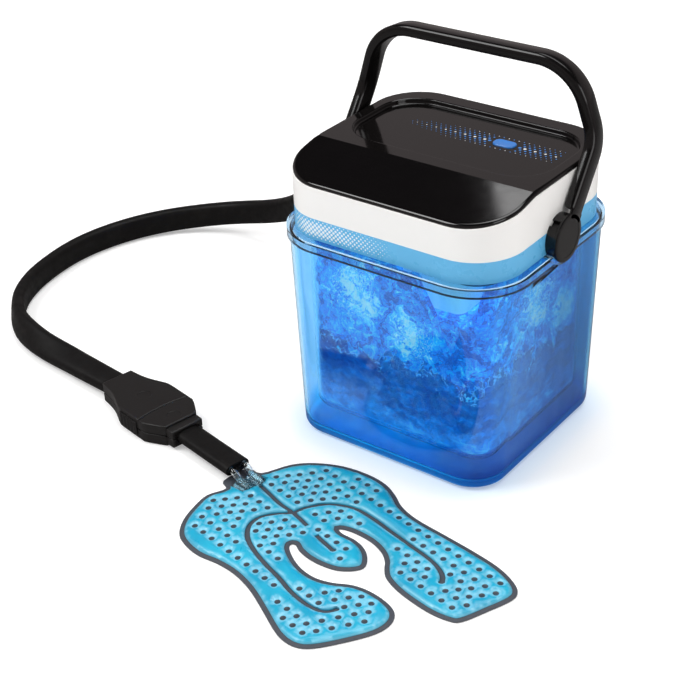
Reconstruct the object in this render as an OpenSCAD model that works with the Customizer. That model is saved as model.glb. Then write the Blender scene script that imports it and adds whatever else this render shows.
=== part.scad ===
/* [Tub] */
// How far the tub's rim stands out beyond the lid
rim_lip = 8; // [5:0.5:12]
// Height of the tub, table to rim
tub_h = 209; // [170:1:255]
// Thickness of the tub's outer wall
tub_wall = 3; // [2:0.5:4]
// How much narrower the foot is than the top, on each side
tub_lean_x = 11; // [6:1:16]
// How much shallower the foot is than the top, at front and back
tub_lean_y = 5; // [2:1:10]
// Corner radius of the foot
foot_r = 35; // [25:1:45]
// Air gap between the outer wall and the liner, at the top
liner_gap = 19; // [16:1:36]
// Height of the liner's underside above the table
liner_z = 18; // [14:1:45]
// Thickness of the liner's wall
liner_wall = 2.5; // [2:0.5:4]
// Corner radius of the liner
liner_r = 24; // [15:1:30]

/* [Lid] */
// Width of the lid, hub to hub
lid_w = 230; // [200:1:280]
// Depth of the lid, front to back
lid_d = 208; // [190:1:250]
// Corner radius of the lid
lid_r = 47; // [42:1:52]
// Height of the sky-blue band
skirt_h = 20.5; // [19:0.5:26]
// Height of the white band at the back
band_h = 45; // [38:1:60]
// How far the lid's front edge drops
front_drop = 12; // [6:1:16]
// Distance from the crease of the top to the lid's centre
crease_y = 38; // [32:1:50]
// Thickness of the lid's walls
lid_wall = 3; // [2:0.5:4]
// Thickness of the black top
cover_t = 3.5; // [3:0.5:5]

/* [Recess] */
// Margin between the recess and the lid's sides
recess_side = 13; // [11:1:30]
// Margin between the recess and the lid's back edge
recess_back = 20; // [15:1:30]
// Margin between the recess and the crease
recess_front = 16; // [10:1:25]
// Corner radius of the recess
recess_r = 36; // [20:1:45]
// How far the recess is sunk
recess_h = 5; // [3:0.5:7]

/* [Button] */
// Length of the power button
button_l = 22; // [16:1:30]
// Width of the power button
button_w = 13; // [9:1:18]
// Button centre, to the right of the lid's centre
button_x = 35; // [10:1:60]
// Button centre, behind the lid's centre
button_y = 42; // [30:1:50]
// Travel of the button
button_travel = 1; // [0.6:0.1:1.2]

/* [Handle] */
// Radius of the handle's hub disc
hub_r = 22; // [16:0.5:27]
// Height of the hub above the tub's rim
hub_rise = 11.5; // [8:0.5:16]
// Hub centre, behind the lid's centre
hub_y = -1; // [-12:1:6]
// Radius of the pivot pin
pivot_r = 6; // [4:0.5:9]
// How far the knee lies behind the hub
knee_back = 52; // [40:1:62]
// Height of the knee above the hub
knee_rise = 71.5; // [68:0.5:90]
// How far the grip lies behind the hub
grip_back = 49.5; // [40:0.5:62]
// Height of the grip above the hub
grip_rise = 139; // [130:1:160]
// Half the length of the grip, to the centre of its corners
grip_half = 102.5; // [90:0.5:106]
// Thickness of the bail seen from the side
bail_d = 20; // [12:0.5:22]
// Thickness of the bail seen from the front
bail_t = 11; // [9:0.5:11.5]

/* [Pump] */
// Pump centre, to the right of the lid's centre
pump_x = 35; // [15:1:45]
// Pump centre, behind the lid's centre
pump_y = -46; // [-50:1:-15]
// Radius of the pump motor
motor_r = 15; // [12:0.5:17]
// Radius of the impeller
impeller_r = 15; // [11:0.5:18]
// Outer radius of the inner tubes
tube_r = 5; // [4:0.5:6]
// Height of the filter's foot above the liner's floor
filter_gap = 4; // [2:1:10]

/* [Hose and coupling] */
// Width of the main hose
hose_w = 28; // [23:1:34]
// Thickness of the main hose
hose_t = 15; // [12:0.5:17]
// Width of the coupling
coupling_w = 60; // [54:1:70]
// Thickness of the coupling
coupling_t = 22; // [20:0.5:28]
// Length of the hose's half of the coupling
socket_l = 80; // [66:1:95]
// Length of the pad's half of the coupling, with its collar
plug_l = 38; // [34:1:54]
// Width of the short pad hose
pad_hose_w = 26; // [22:1:30]
// Thickness of the short pad hose
pad_hose_t = 11; // [9:0.5:13]

/* [Pad] */
// Thickness of the backing sheet
backing_t = 1.2; // [0.8:0.1:2]
// Height of the filled bladder
bladder_h = 5; // [3:0.5:8]
// Spacing of the weld dots
dot_pitch = 15; // [13:0.5:20]
// Width of the backing's bare border
border_w = 3.5; // [2.5:0.5:5]
// Width of the welded seams
seam_w = 4; // [3:0.5:6]

/* [Hidden] */
$fn = 48;

// Clearances
fit = 0.3;          // between pieces that only lie close
running = 0.05;     // radial, round a shaft or a pin
eps = 0.01;

// Tub
bead = 2.5;                              // bead beyond the outer wall
rim_w = lid_w + 2 * rim_lip;
rim_d = lid_d + 2 * rim_lip;
rim_r = lid_r + rim_lip;
rim_t = 9;                               // height of the rim piece
rim_plate = 3;
rim_z = tub_h - rim_t;
top_w = rim_w - 2 * bead;
top_d = rim_d - 2 * bead;
foot_w = top_w - 2 * tub_lean_x;
foot_d = top_d - 2 * tub_lean_y;
foot_bevel = 6;
tub_floor = 6;
liner_w = top_w - 2 * liner_gap - 5;
liner_d = top_d - 2 * liner_gap - 3;
liner_floor = 3;
saddle_wall = 3;
rim_ring = 4;                            // width of the rim's two rings

// Lid, from the rim upwards
lid_z = tub_h + 0.5;
split_z = lid_z + skirt_h;
lid_top = split_z + band_h;
front_z = lid_top - front_drop;
cover_inset = 0.8;
deck_t = 2.5;
seal_t = 2.5;
under_z = tub_h + seal_t;
under_t = 3;
rib_t = 2.5;
rib_z = tub_h - 9;
screw_at = [[lid_w / 2 - 11, 60], [lid_w / 2 - 11, -60], [-lid_w / 2 + 11, 60],
    [-lid_w / 2 + 11, -60], [-20, lid_d / 2 - 9.5], [0, -lid_d / 2 + 9.5]];
screw_r = 1.5;
screw_l = 16;
screw_head_r = 3.2;
screw_boss_r = 3.4;
screw_boss_h = 30;

// Recess and button
recess_w = lid_w - 2 * recess_side;
recess_d = lid_d / 2 - recess_back + crease_y - recess_front;
recess_y = (lid_d / 2 - recess_back - crease_y + recess_front) / 2;
recess_floor_z = lid_top - recess_h;
recess_t = 2.5;
recess_wall = 2.5;
button_proud = 1.2;
button_flange_t = 1.5;
board_z = recess_floor_z - recess_t - 11.5;
board_t = 1.6;
board_w = 76;
board_d = 44;
board_screw_at = [for (x = [-1, 1]) for (y = [-1, 1])
    [button_x + x * (board_w / 2 - 5), button_y + y * (board_d / 2 - 5)]];
stem_r = 2.5;
flange_z = recess_floor_z - recess_t - fit - button_flange_t;
switch_h = 3.5;
plunger_gap = 0.2;
switch_top = board_z + board_t + switch_h + 1.2;
stem_z = switch_top + button_travel + plunger_gap;

// Handle
hub_z = tub_h + hub_rise;
boss_t = rim_lip;
boss_r = hub_r - 1.3;
disc_x = lid_w / 2 + boss_t + fit;
disc_t = 3.2;
pin_l = boss_t + fit + disc_t - 1.2;
saddle_r = boss_r + 1;
arm_x = disc_x + disc_t / 2;
knee_x = arm_x - 0.3;
knee_bend = 41;
grip_bend = 51;
root_r = hub_r - 6;                      // where the bail's thin root begins
bail_edge = 2.2;                         // chamfer along the bail's edges
root_edge = 0.6;
lean = unit([0, knee_back, knee_rise]);  // direction of the arm at the hub

// Pump, under the lid; the housing reaches from the riser to beyond the chamber
chamber_r = impeller_r + 2;
riser_x = pump_x - chamber_r - 10;
housing_w = 2 * chamber_r + 30;
housing_d = 2 * chamber_r + 16;
housing_x = riser_x - 9 + housing_w / 2;
housing_z = tub_h - 50;
chamber_z = housing_z + 4;
chamber_h = 12;
motor_z = chamber_z + chamber_h + 3;
motor_h = 38;
shaft_r = 1.5;
tube_wall = 1.5;
tube_z = lid_z + skirt_h / 2;
return_x = -40;
liner_floor_z = liner_z + liner_floor;
filter_r = 11;
filter_h = 26;
filter_z = liner_floor_z + filter_gap;

// Hose port on the left-hand side of the skirt
gland_t = 3;
gland_w = hose_w + 8;
gland_h = hose_t + 4;
gland_gap = 2.3;                         // between the gland and the handle's pivot boss
port_x = -lid_w / 2;
port_y = hub_y + boss_r + gland_gap + gland_w / 2;
port_z = lid_z + skirt_h / 2;
relief_l = 22;
line_gap = 14;                           // between the centres of the two water lines

// Power socket on the back of the skirt
inlet_x = 60;
inlet_r = 2.75;
inlet_body_r = 4.8;

// Line on which the coupling, the short hose and the pad lie
pad_x = -96;
pad_y = -200;
pad_turn = -12;
pad_hose_l = 76;
split_u = -pad_hose_l - plug_l;
socket_u = split_u - socket_l;
coupling_z = coupling_t / 2;
split_sag = 3.5;
split_r = (pow(coupling_w / 2, 2) + pow(split_sag, 2)) / (2 * split_sag);
shell_edge = 1.4;                        // step at the coupling's outer edges
collar_l = 10;
collar_w = pad_hose_w + 10;
collar_h = coupling_t - 4;
nipple_r = 3.95;
nipple_in = 16;
valve_r = nipple_r + 2;
valve_end = split_u - split_sag - 2;
o_ring_u = [valve_end - nipple_in + 4, valve_end - nipple_in + 9];
latch_l = 28;
latch_h = 14;
latch_d = 8;
latch_travel = 2;
latch_u = split_u - latch_l - 3;
crown_w = 12;                            // the film slopes down over this much of its edge
line_r = 2.4;                            // bore of the pad's water lines
pad_line_z = backing_t + 3.8;
tube_end = 26;
block_u = 13;

// Route of the main hose, in millimetres, from the strain relief to the coupling
hose_start = [port_x - gland_t - relief_l, port_y, port_z];
hose_end = [pad_x + socket_u * cos(pad_turn), pad_y + socket_u * sin(pad_turn), coupling_z];
hose_middle = [
    [-162, 41, 216], [-186, 52, 203], [-209, 71, 181], [-230, 93, 154],
    [-251, 116, 126], [-272, 138, 101], [-294, 156, 80], [-318, 169, 63], [-344, 177, 49],
    [-372, 181, 38], [-401, 180, 30], [-430, 172, 24], [-460, 156, 19], [-486, 133, 16],
    [-507, 102, 14.5], [-521, 65, 14], [-527, 25, 14], [-524, -18, 14], [-513, -61, 14],
    [-492, -99, 14], [-459, -129, 14], [-412, -146, 13.5], [-352, -153, 12]
];
hose_route = concat([hose_start], hose_middle, [hose_end]);
// Twist of the flat hose at each point of the route: 0 lies flat, 90 stands on edge
hose_twist = [0, 0, 0, 10, 25, 40, 55, 68, 80, 88, 90, 90, 90, 90, 90,
    90, 90, 90, 90, 90, 88, 75, 45, 12, 0];

// Outline of the pad, along and across its own axis
pad_outline = [
    [-4, 14], [11, 18], [20, 46], [34, 64], [56, 79], [82, 87], [104, 88], [122, 83], [138, 76],
    [160, 73], [193, 75], [227, 77], [254, 77], [274, 73], [287, 66], [291, 55], [287, 32], [281, 7],
    [272, 0], [256, -4], [237, -5], [217, -4], [200, 0], [190, 7], [183, 14], [172, 20], [157, 23],
    [141, 22], [129, 19], [123, 15], [130, 13], [144, 15], [158, 13], [170, 6], [177, -4],
    [173, -14], [163, -23], [149, -28], [135, -30], [122, -29], [113, -26], [110, -29], [115, -34],
    [129, -40], [144, -43], [159, -42], [173, -36], [187, -26], [202, -21], [221, -20], [236, -24],
    [244, -35], [244, -52], [234, -77], [222, -99], [211, -108], [197, -110], [182, -107], [158, -99],
    [131, -91], [107, -88], [86, -90], [67, -95], [49, -95], [32, -90], [18, -76], [8, -56],
    [3, -38], [7, -20], [-4, -14]
];
seam_left = [[79, 0], [68, -14], [63, -27], [66, -39], [77, -50], [94, -57], [117, -62],
    [139, -65], [159, -69], [178, -70], [191, -68], [198, -64], [202, -57]];
seam_right = [[79, 0], [81, 13], [89, 28], [101, 38], [116, 44], [137, 45], [156, 44],
    [183, 43], [207, 42], [222, 39], [232, 34], [237, 28]];
seam_middle = [[12, 3], [30, 4], [60, 0], [79, 0], [102, -3]];
seam_end = [[117, -6], [143, -9]];

// ---- Functions ----

function unit(v) = v / norm(v);

// Point on a Catmull-Rom curve between b and c
function curve_point(a, b, c, d, t) =
    0.5 * (2 * b + (c - a) * t + (2 * a - 5 * b + 4 * c - d) * t * t
    + (3 * b - a - 3 * c + d) * t * t * t);

// Closed smooth curve through the points, with n steps between two of them
function closed_curve(p, n) = let (m = len(p))
    [for (i = [0 : m - 1]) for (k = [0 : n - 1])
        curve_point(p[(i + m - 1) % m], p[i], p[(i + 1) % m], p[(i + 2) % m], k / n)];

// Open smooth curve through the points
function open_curve(p, n) = let (m = len(p))
    concat([for (i = [0 : m - 2]) for (k = [0 : n - 1])
        curve_point(i > 0 ? p[i - 1] : 2 * p[0] - p[1], p[i], p[i + 1],
            i < m - 2 ? p[i + 2] : 2 * p[m - 1] - p[m - 2], k / n)], [p[m - 1]]);

// Direction of a path at each of its points, with given directions at its ends
function headings(p, first, last) = let (m = len(p))
    [for (i = [0 : m - 1]) i == 0 ? unit(first) : i == m - 1 ? unit(last) : unit(p[i + 1] - p[i - 1])];

// Outline of a bar with rounded edges, as [across, thick] pairs
function bar_section(w, t, n) =
    [for (i = [0 : n - 1]) let (a = 360 * (i + 0.5) / n)
        [w / 2 * sign(cos(a)) * pow(abs(cos(a)), 0.6), t / 2 * sign(sin(a)) * pow(abs(sin(a)), 0.75)]];

// Outline of a bar with chamfered edges
function chamfered(w, t, c) = [[w / 2, c - t / 2], [w / 2, t / 2 - c], [w / 2 - c, t / 2],
    [c - w / 2, t / 2], [-w / 2, t / 2 - c], [-w / 2, c - t / 2], [c - w / 2, -t / 2], [w / 2 - c, -t / 2]];

// Round off the corner b of a path a, b, c with n + 1 points
function rounded_corner(a, b, c, r, n) =
    let (u = unit(a - b), v = unit(c - b), half = acos(u * v) / 2,
        reach = r / tan(half), mid = b + unit(u + v) * r / sin(half),
        from = b + u * reach - mid, to = b + v * reach - mid, sweep = acos(unit(from) * unit(to)))
    [for (k = [0 : n]) let (f = k / n)
        mid + (sin(sweep * (1 - f)) * from + sin(sweep * f) * to) / sin(sweep)];

// Carry a side direction along a path without twisting it
function carried(side, dirs, i = 0) =
    let (s = unit(side - (side * dirs[i]) * dirs[i]))
    i == len(dirs) - 1 ? [s] : concat([s], carried(s, dirs, i + 1));

function distance_to_segment(q, a, b) =
    let (ab = b - a, t = max(0, min(1, ((q - a) * ab) / (ab * ab))))
    norm(q - a - t * ab);

function distance_to_ring(q, p) =
    min([for (i = [0 : len(p) - 1]) distance_to_segment(q, p[i], p[(i + 1) % len(p)])]);

// ---- Shared shapes ----

module rounded_rect(w, d, r) {
    square([w - 2 * r, d], center = true);
    square([w, d - 2 * r], center = true);
    for (x = [-1, 1]) {
        for (y = [-1, 1]) {
            translate([x * (w / 2 - r), y * (d / 2 - r)]) circle(r);
        }
    }
}

module block(w, d, r, z0, z1) {
    translate([0, 0, z0]) linear_extrude(z1 - z0) rounded_rect(w, d, r);
}

module ring(w, d, r, wall, z0, z1) {
    difference() {
        block(w, d, r, z0, z1);
        block(w - 2 * wall, d - 2 * wall, r - wall, z0 - 1, z1 + 1);
    }
}

module along_x(r, x0, x1) {
    translate([x0, 0, 0]) rotate([0, 90, 0]) cylinder(r = r, h = x1 - x0);
}

// A solid through rings of points
module skin(rings) {
    n = len(rings[0]);
    m = len(rings);
    walls = [for (i = [0 : m - 2]) for (j = [0 : n - 1]) for (half = [0, 1])
        half == 0 ? [i * n + j, (i + 1) * n + j, (i + 1) * n + (j + 1) % n]
            : [i * n + j, (i + 1) * n + (j + 1) % n, i * n + (j + 1) % n]];
    first = [for (j = [0 : n - 1]) j];
    last = [for (j = [0 : n - 1]) m * n - 1 - j];
    polyhedron([for (r = rings) each r], concat(walls, [first], [last]));
}

module tube_between(a, b, r) {
    d = b - a;
    translate(a) rotate([0, acos(d[2] / norm(d)), atan2(d[1], d[0])]) cylinder(r = r, h = norm(d));
}

// A bent tube; the balls at its bends are a touch wider, so that they meet it in clean edges
module tube_run(points, r) {
    for (i = [0 : len(points) - 2]) tube_between(points[i], points[i + 1], r);
    for (i = [1 : len(points) - 2]) translate(points[i]) sphere(r + 0.02);
}

// A band of width w along a path
module strip(points, w) {
    last = len(points) - 1;
    ways = headings(points, points[1] - points[0], points[last] - points[last - 1]);
    left = [for (i = [0 : last]) points[i] + w / 2 * [-ways[i][1], ways[i][0]]];
    right = [for (i = [last : -1 : 0]) points[i] - w / 2 * [-ways[i][1], ways[i][0]]];
    polygon(concat(left, right));
}

module on_pad_line() {
    translate([pad_x, pad_y, 0]) rotate(pad_turn) children();
}

// ---- Tub ----

module tub_form(grow, z0, z1, bevel) {
    low_w = foot_w + 2 * grow;
    low_d = foot_d + 2 * grow;
    hull() {
        block(low_w - 2 * bevel, low_d - 2 * bevel, foot_r + grow - bevel, z0, z0 + eps, $fn = 32);
        block(low_w, low_d, foot_r + grow, z0 + bevel, z0 + bevel + eps, $fn = 32);
        block(top_w + 2 * grow, top_d + 2 * grow, rim_r - bead + grow, z1 - eps, z1, $fn = 32);
    }
}

module tub_shell() {
    color("dodgerblue", 0.5) difference() {
        tub_form(0, 0, rim_z, foot_bevel);
        tub_form(-tub_wall, tub_floor, rim_z + 0.5, foot_bevel - 1);
        for (s = [-1, 1]) {
            translate([s * (lid_w / 2 + 4), hub_y, hub_z])
                along_x(saddle_r + saddle_wall + running, -6, 12);
        }
    }
}

module tub_liner() {
    color("deepskyblue", 0.5) difference() {
        block(liner_w, liner_d, liner_r, liner_z, rim_z);
        block(liner_w - 2 * liner_wall, liner_d - 2 * liner_wall, liner_r - liner_wall,
            liner_floor_z, rim_z + 1);
    }
}

module below_rim() {
    translate([-lid_w, -lid_w, 0]) cube([2 * lid_w, 2 * lid_w, tub_h]);
}

module tub_rim() {
    open_w = liner_w - 2 * liner_wall;
    open_d = liner_d - 2 * liner_wall;
    open_r = liner_r - liner_wall;
    color("lightsteelblue", 0.6) difference() {
        union() {
            ring(rim_w, rim_d, rim_r, rim_ring, rim_z, tub_h);
            ring(open_w + 2 * rim_ring, open_d + 2 * rim_ring, open_r + rim_ring, rim_ring,
                rim_z, tub_h);
            difference() {
                block(rim_w - 2, rim_d - 2, rim_r - 1, tub_h - rim_plate, tub_h);
                block(open_w, open_d, open_r, rim_z, tub_h + 1);
            }
            intersection() {
                below_rim();
                for (s = [-1, 1]) {
                    translate([0, hub_y, hub_z]) scale([s, 1, 1])
                        along_x(saddle_r + saddle_wall, lid_w / 2 - saddle_wall, rim_w / 2);
                }
            }
        }
        for (s = [-1, 1]) {
            translate([0, hub_y, hub_z]) scale([s, 1, 1])
                along_x(saddle_r, lid_w / 2 - fit, rim_w / 2 + 1);
        }
    }
}

// ---- Lid ----

// Everything under the lid's top surface, lowered by drop
module under_top(drop) {
    half = lid_d / 2 + 1;
    slope = front_drop / (lid_d / 2 - crease_y);
    rotate([90, 0, 90]) translate([0, 0, -lid_w / 2 - 1]) linear_extrude(lid_w + 2)
        polygon([[-half, 0], [half, 0], [half, lid_top - drop], [-crease_y, lid_top - drop],
            [-half, lid_top - drop - slope * (half - crease_y)]]);
}

module recess_block(grow, z0, z1) {
    translate([0, recess_y, 0]) block(recess_w + 2 * grow, recess_d + 2 * grow, recess_r + grow, z0, z1);
}

module lid_skirt() {
    color("skyblue") difference() {
        ring(lid_w, lid_d, lid_r, lid_wall, lid_z, split_z);
        translate([port_x - 1, port_y - hose_w / 2, port_z - hose_t / 2])
            cube([lid_wall + 2, hose_w, hose_t]);
        translate([inlet_x, lid_d / 2 - lid_wall - 1, port_z]) rotate([-90, 0, 0])
            cylinder(r = inlet_body_r + running, h = lid_wall + 2);
        for (s = [-1, 1]) {
            translate([0, hub_y, hub_z]) scale([s, 1, 1])
                along_x(pivot_r + running, lid_w / 2 - lid_wall - 1, lid_w / 2 + 1);
        }
    }
}

// A boss for a lid screw, with a web to the nearest wall
module screw_boss(at) {
    aside = abs(at[0]) > abs(at[1]);
    turn = aside ? (at[0] > 0 ? 0 : 180) : (at[1] > 0 ? 90 : -90);
    reach = aside ? lid_w / 2 - abs(at[0]) : lid_d / 2 - abs(at[1]);
    boss_z = under_z + under_t;
    translate([at[0], at[1], 0]) rotate(turn) difference() {
        union() {
            translate([0, 0, boss_z]) cylinder(r = screw_boss_r, h = screw_boss_h);
            translate([0, -1, split_z + 2])
                cube([reach - 1, 2, boss_z + screw_boss_h - split_z - 2]);
        }
        translate([0, 0, under_z]) cylinder(r = screw_r + running, h = screw_l + 2);
    }
}

module lid_shell() {
    color("white") {
        difference() {
            intersection() {
                block(lid_w, lid_d, lid_r, split_z, lid_top);
                under_top(cover_t);
            }
            intersection() {
                block(lid_w - 2 * lid_wall, lid_d - 2 * lid_wall, lid_r - lid_wall, split_z - 1, lid_top);
                under_top(cover_t + deck_t);
            }
            recess_block(recess_wall + fit, lid_z, lid_top + 1);
        }
        for (at = screw_at) screw_boss(at);
    }
}

module lid_top_cover() {
    color([0.06, 0.06, 0.07]) {
        difference() {
            union() {
                difference() {
                    intersection() {
                        block(lid_w - 2 * cover_inset, lid_d - 2 * cover_inset, lid_r - cover_inset,
                            split_z, lid_top);
                        under_top(0);
                    }
                    under_top(cover_t);
                }
                recess_block(recess_wall, recess_floor_z - recess_t, lid_top - 1);
            }
            recess_block(0, recess_floor_z, lid_top + 1);
            translate([button_x, button_y, 0])
                block(button_l + 2 * fit, button_w + 2 * fit, button_w / 2 + fit - 1, board_z, lid_top);
        }
        for (at = board_screw_at) {
            translate([at[0], at[1], board_z + board_t]) board_post();
        }
    }
}

module board_post() {
    h = recess_floor_z - recess_t - board_z - board_t;
    difference() {
        cylinder(r = 3, h = h + eps);
        translate([0, 0, -1]) cylinder(r = 1.05, h = 8);
    }
}

module lid_underplate() {
    inner_w = lid_w - 2 * lid_wall - 2 * fit;
    inner_d = lid_d - 2 * lid_wall - 2 * fit;
    open_w = liner_w - 2 * liner_wall - 2 * fit;
    open_d = liner_d - 2 * liner_wall - 2 * fit;
    color("gainsboro") difference() {
        union() {
            block(inner_w, inner_d, lid_r - lid_wall - fit, under_z, under_z + under_t);
            ring(open_w, open_d, liner_r - liner_wall - fit, rib_t, rib_z, under_z + 1);
        }
        for (at = screw_at) {
            translate([at[0], at[1], under_z - 1]) cylinder(r = screw_r + 0.2, h = under_t + 2);
        }
        translate([pump_x, pump_y, under_z - 1]) cylinder(r = motor_r + fit, h = under_t + 2);
        translate([riser_x, pump_y, under_z - 1]) cylinder(r = tube_r + running, h = under_t + 2);
        translate([return_x, port_y + line_gap / 2, under_z - 1])
            cylinder(r = tube_r + running, h = under_t + 2);
    }
}

module lid_seal() {
    color("dimgray") ring(liner_w + 2, liner_d + 2, liner_r + 1, 3.5, tub_h, under_z);
}

module lid_screws() {
    color("silver") for (at = screw_at) {
        translate([at[0], at[1], under_z - 2.2]) {
            cylinder(r = screw_head_r, h = 2.2);
            cylinder(r = screw_r, h = screw_l);
        }
    }
}

// ---- Button and board ----

module power_button() {
    color("royalblue") translate([button_x, button_y, 0]) {
        block(button_l, button_w, button_w / 2 - 1, flange_z, recess_floor_z + button_proud - 0.6);
        block(button_l - 1.6, button_w - 1.6, button_w / 2 - 1.8, flange_z, recess_floor_z + button_proud);
        block(button_l + 4, button_w + 4, button_w / 2 + 1, flange_z, flange_z + button_flange_t);
        translate([0, 0, stem_z]) cylinder(r = stem_r, h = flange_z - stem_z + eps);
    }
}

module button_switch() {
    color("dimgray") translate([button_x, button_y, board_z + board_t]) {
        translate([-3, -3, 0]) cube([6, 6, switch_h]);
        cylinder(r = 1.75, h = switch_top - board_z - board_t);
    }
}

module control_board() {
    color("darkgreen") translate([button_x, button_y, board_z]) difference() {
        union() {
            translate([-board_w / 2, -board_d / 2, 0]) cube([board_w, board_d, board_t]);
            translate([-28, -14, 0]) cube([12, 12, board_t + 3]);
            translate([14, -15, 0]) cube([16, 8, board_t + 5]);
            translate([-26, 10, 0]) cylinder(r = 4, h = board_t + 7);
        }
        for (at = board_screw_at) {
            translate([at[0] - button_x, at[1] - button_y, -1]) cylinder(r = 1.2, h = 4);
        }
    }
}

module board_screws() {
    color("silver") for (at = board_screw_at) {
        translate([at[0], at[1], board_z - 1.6]) {
            cylinder(r = 2, h = 1.6);
            cylinder(r = 1, h = 8);
        }
    }
}

// ---- Pump ----

outlet_path = [[riser_x, pump_y, under_z - 20], [riser_x, pump_y, tube_z],
    [riser_x, port_y - line_gap / 2, tube_z], [port_x + lid_wall, port_y - line_gap / 2, tube_z]];
return_path = [[return_x, port_y + line_gap / 2, rib_z - 4], [return_x, port_y + line_gap / 2, tube_z],
    [port_x + lid_wall, port_y + line_gap / 2, tube_z]];

module pump_housing() {
    color("whitesmoke") difference() {
        translate([housing_x, pump_y, 0]) block(housing_w, housing_d, 8, chamber_z, under_z);
        translate([pump_x, pump_y, chamber_z - 1]) cylinder(r = chamber_r, h = chamber_h + 1);
        translate([pump_x, pump_y, motor_z]) cylinder(r = motor_r + fit, h = motor_h);
        translate([pump_x, pump_y, chamber_z]) cylinder(r = shaft_r + running, h = chamber_h + 5);
        translate([pump_x - chamber_r - 10, pump_y - 3, chamber_z + 3]) cube([14, 6, 6]);
        translate([riser_x, pump_y, chamber_z + 3]) cylinder(r = tube_r - tube_wall, h = 30);
        translate([riser_x, pump_y, under_z - 20]) cylinder(r = tube_r + running, h = 21);
    }
}

module pump_cover() {
    color("silver") difference() {
        translate([housing_x, pump_y, 0]) block(housing_w, housing_d, 8, housing_z, chamber_z);
        translate([pump_x, pump_y, housing_z - 1]) cylinder(r = tube_r - tube_wall, h = 6);
    }
}

module pump_motor() {
    color("slategray") translate([pump_x, pump_y, motor_z]) difference() {
        union() {
            cylinder(r = motor_r, h = motor_h - 4);
            cylinder(r = 6, h = motor_h);
        }
        translate([0, 0, -1]) cylinder(r = shaft_r + running, h = motor_h - 8);
    }
}

module pump_shaft() {
    color("silver") translate([pump_x, pump_y, chamber_z + 2])
        cylinder(r = shaft_r, h = motor_z - chamber_z + 22);
}

module impeller() {
    color("orange") translate([pump_x, pump_y, chamber_z + 1.5]) difference() {
        union() {
            cylinder(r = impeller_r, h = 1.5);
            cylinder(r = 4, h = 8);
            for (a = [0 : 60 : 300]) {
                rotate(a) translate([3, -0.8, 0]) cube([impeller_r - 4, 1.6, 7]);
            }
        }
        translate([0, 0, 0.5]) cylinder(r = shaft_r, h = 12);
    }
}

module intake_tube() {
    color("lightcyan", 0.6) translate([pump_x, pump_y, 0]) difference() {
        translate([0, 0, filter_z + filter_h]) cylinder(r = tube_r, h = housing_z - filter_z - filter_h);
        translate([0, 0, filter_z + filter_h - 1])
            cylinder(r = tube_r - tube_wall, h = housing_z - filter_z - filter_h + 2);
    }
}

module intake_filter() {
    color("black") translate([pump_x, pump_y, filter_z]) difference() {
        cylinder(r = filter_r, h = filter_h);
        translate([0, 0, 2]) cylinder(r = filter_r - 2, h = filter_h - 4);
        translate([0, 0, 4]) cylinder(r = tube_r - tube_wall, h = filter_h);
        for (a = [0 : 30 : 330]) {
            rotate(a) translate([filter_r - 3, -1, 4]) cube([4, 2, filter_h - 8]);
        }
    }
}

module outlet_tube() {
    color("lightcyan", 0.6) difference() {
        tube_run(outlet_path, tube_r);
        tube_run(outlet_path, tube_r - tube_wall);
    }
}

module return_tube() {
    color("lightcyan", 0.6) difference() {
        tube_run(return_path, tube_r);
        tube_run(return_path, tube_r - tube_wall);
    }
}

// ---- Fittings on the skirt ----

module hose_gland() {
    color("black") translate([port_x, port_y, port_z]) rotate([0, -90, 0]) difference() {
        linear_extrude(gland_t) rounded_rect(gland_h, gland_w, 5);
        for (s = [-1, 1]) {
            translate([0, s * line_gap / 2, -1]) cylinder(r = tube_r - tube_wall, h = gland_t + 2);
        }
    }
}

module strain_relief() {
    steps = 4;
    color("black") translate([port_x - gland_t, port_y, port_z]) rotate([0, -90, 0]) difference() {
        union() {
            for (i = [0 : steps - 1]) {
                f = i / steps;
                translate([0, 0, relief_l * f]) linear_extrude(relief_l / steps)
                    rounded_rect(gland_h - 0.6 - 2 * f, gland_w - 2 - 4 * f, 5);
            }
        }
        for (s = [-1, 1]) {
            translate([0, s * line_gap / 2, -1]) cylinder(r = tube_r - tube_wall, h = relief_l + 2);
        }
    }
}

module dc_inlet() {
    color("black") translate([inlet_x, lid_d / 2, port_z]) rotate([-90, 0, 0]) {
        difference() {
            union() {
                cylinder(r = 8, h = 1.5);
                translate([0, 0, -14]) cylinder(r = inlet_body_r, h = 14.5);
            }
            translate([0, 0, -9]) cylinder(r = inlet_r, h = 12);
        }
        translate([0, 0, -9.5]) cylinder(r = 1, h = 9);
    }
}

module hub_boss(side) {
    color("black") translate([0, hub_y, hub_z]) scale([side, 1, 1]) difference() {
        union() {
            along_x(boss_r, lid_w / 2, lid_w / 2 + boss_t);
            along_x(pivot_r, lid_w / 2 - lid_wall, lid_w / 2 + pin_l);
        }
        rotate([35, 0, 0]) translate([lid_w / 2 - 1, -3, boss_r - 4]) cube([boss_t + 2, 6, 8]);
    }
}

module hub_boss_left() {
    hub_boss(-1);
}

module hub_boss_right() {
    hub_boss(1);
}

// ---- Handle ----

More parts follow.
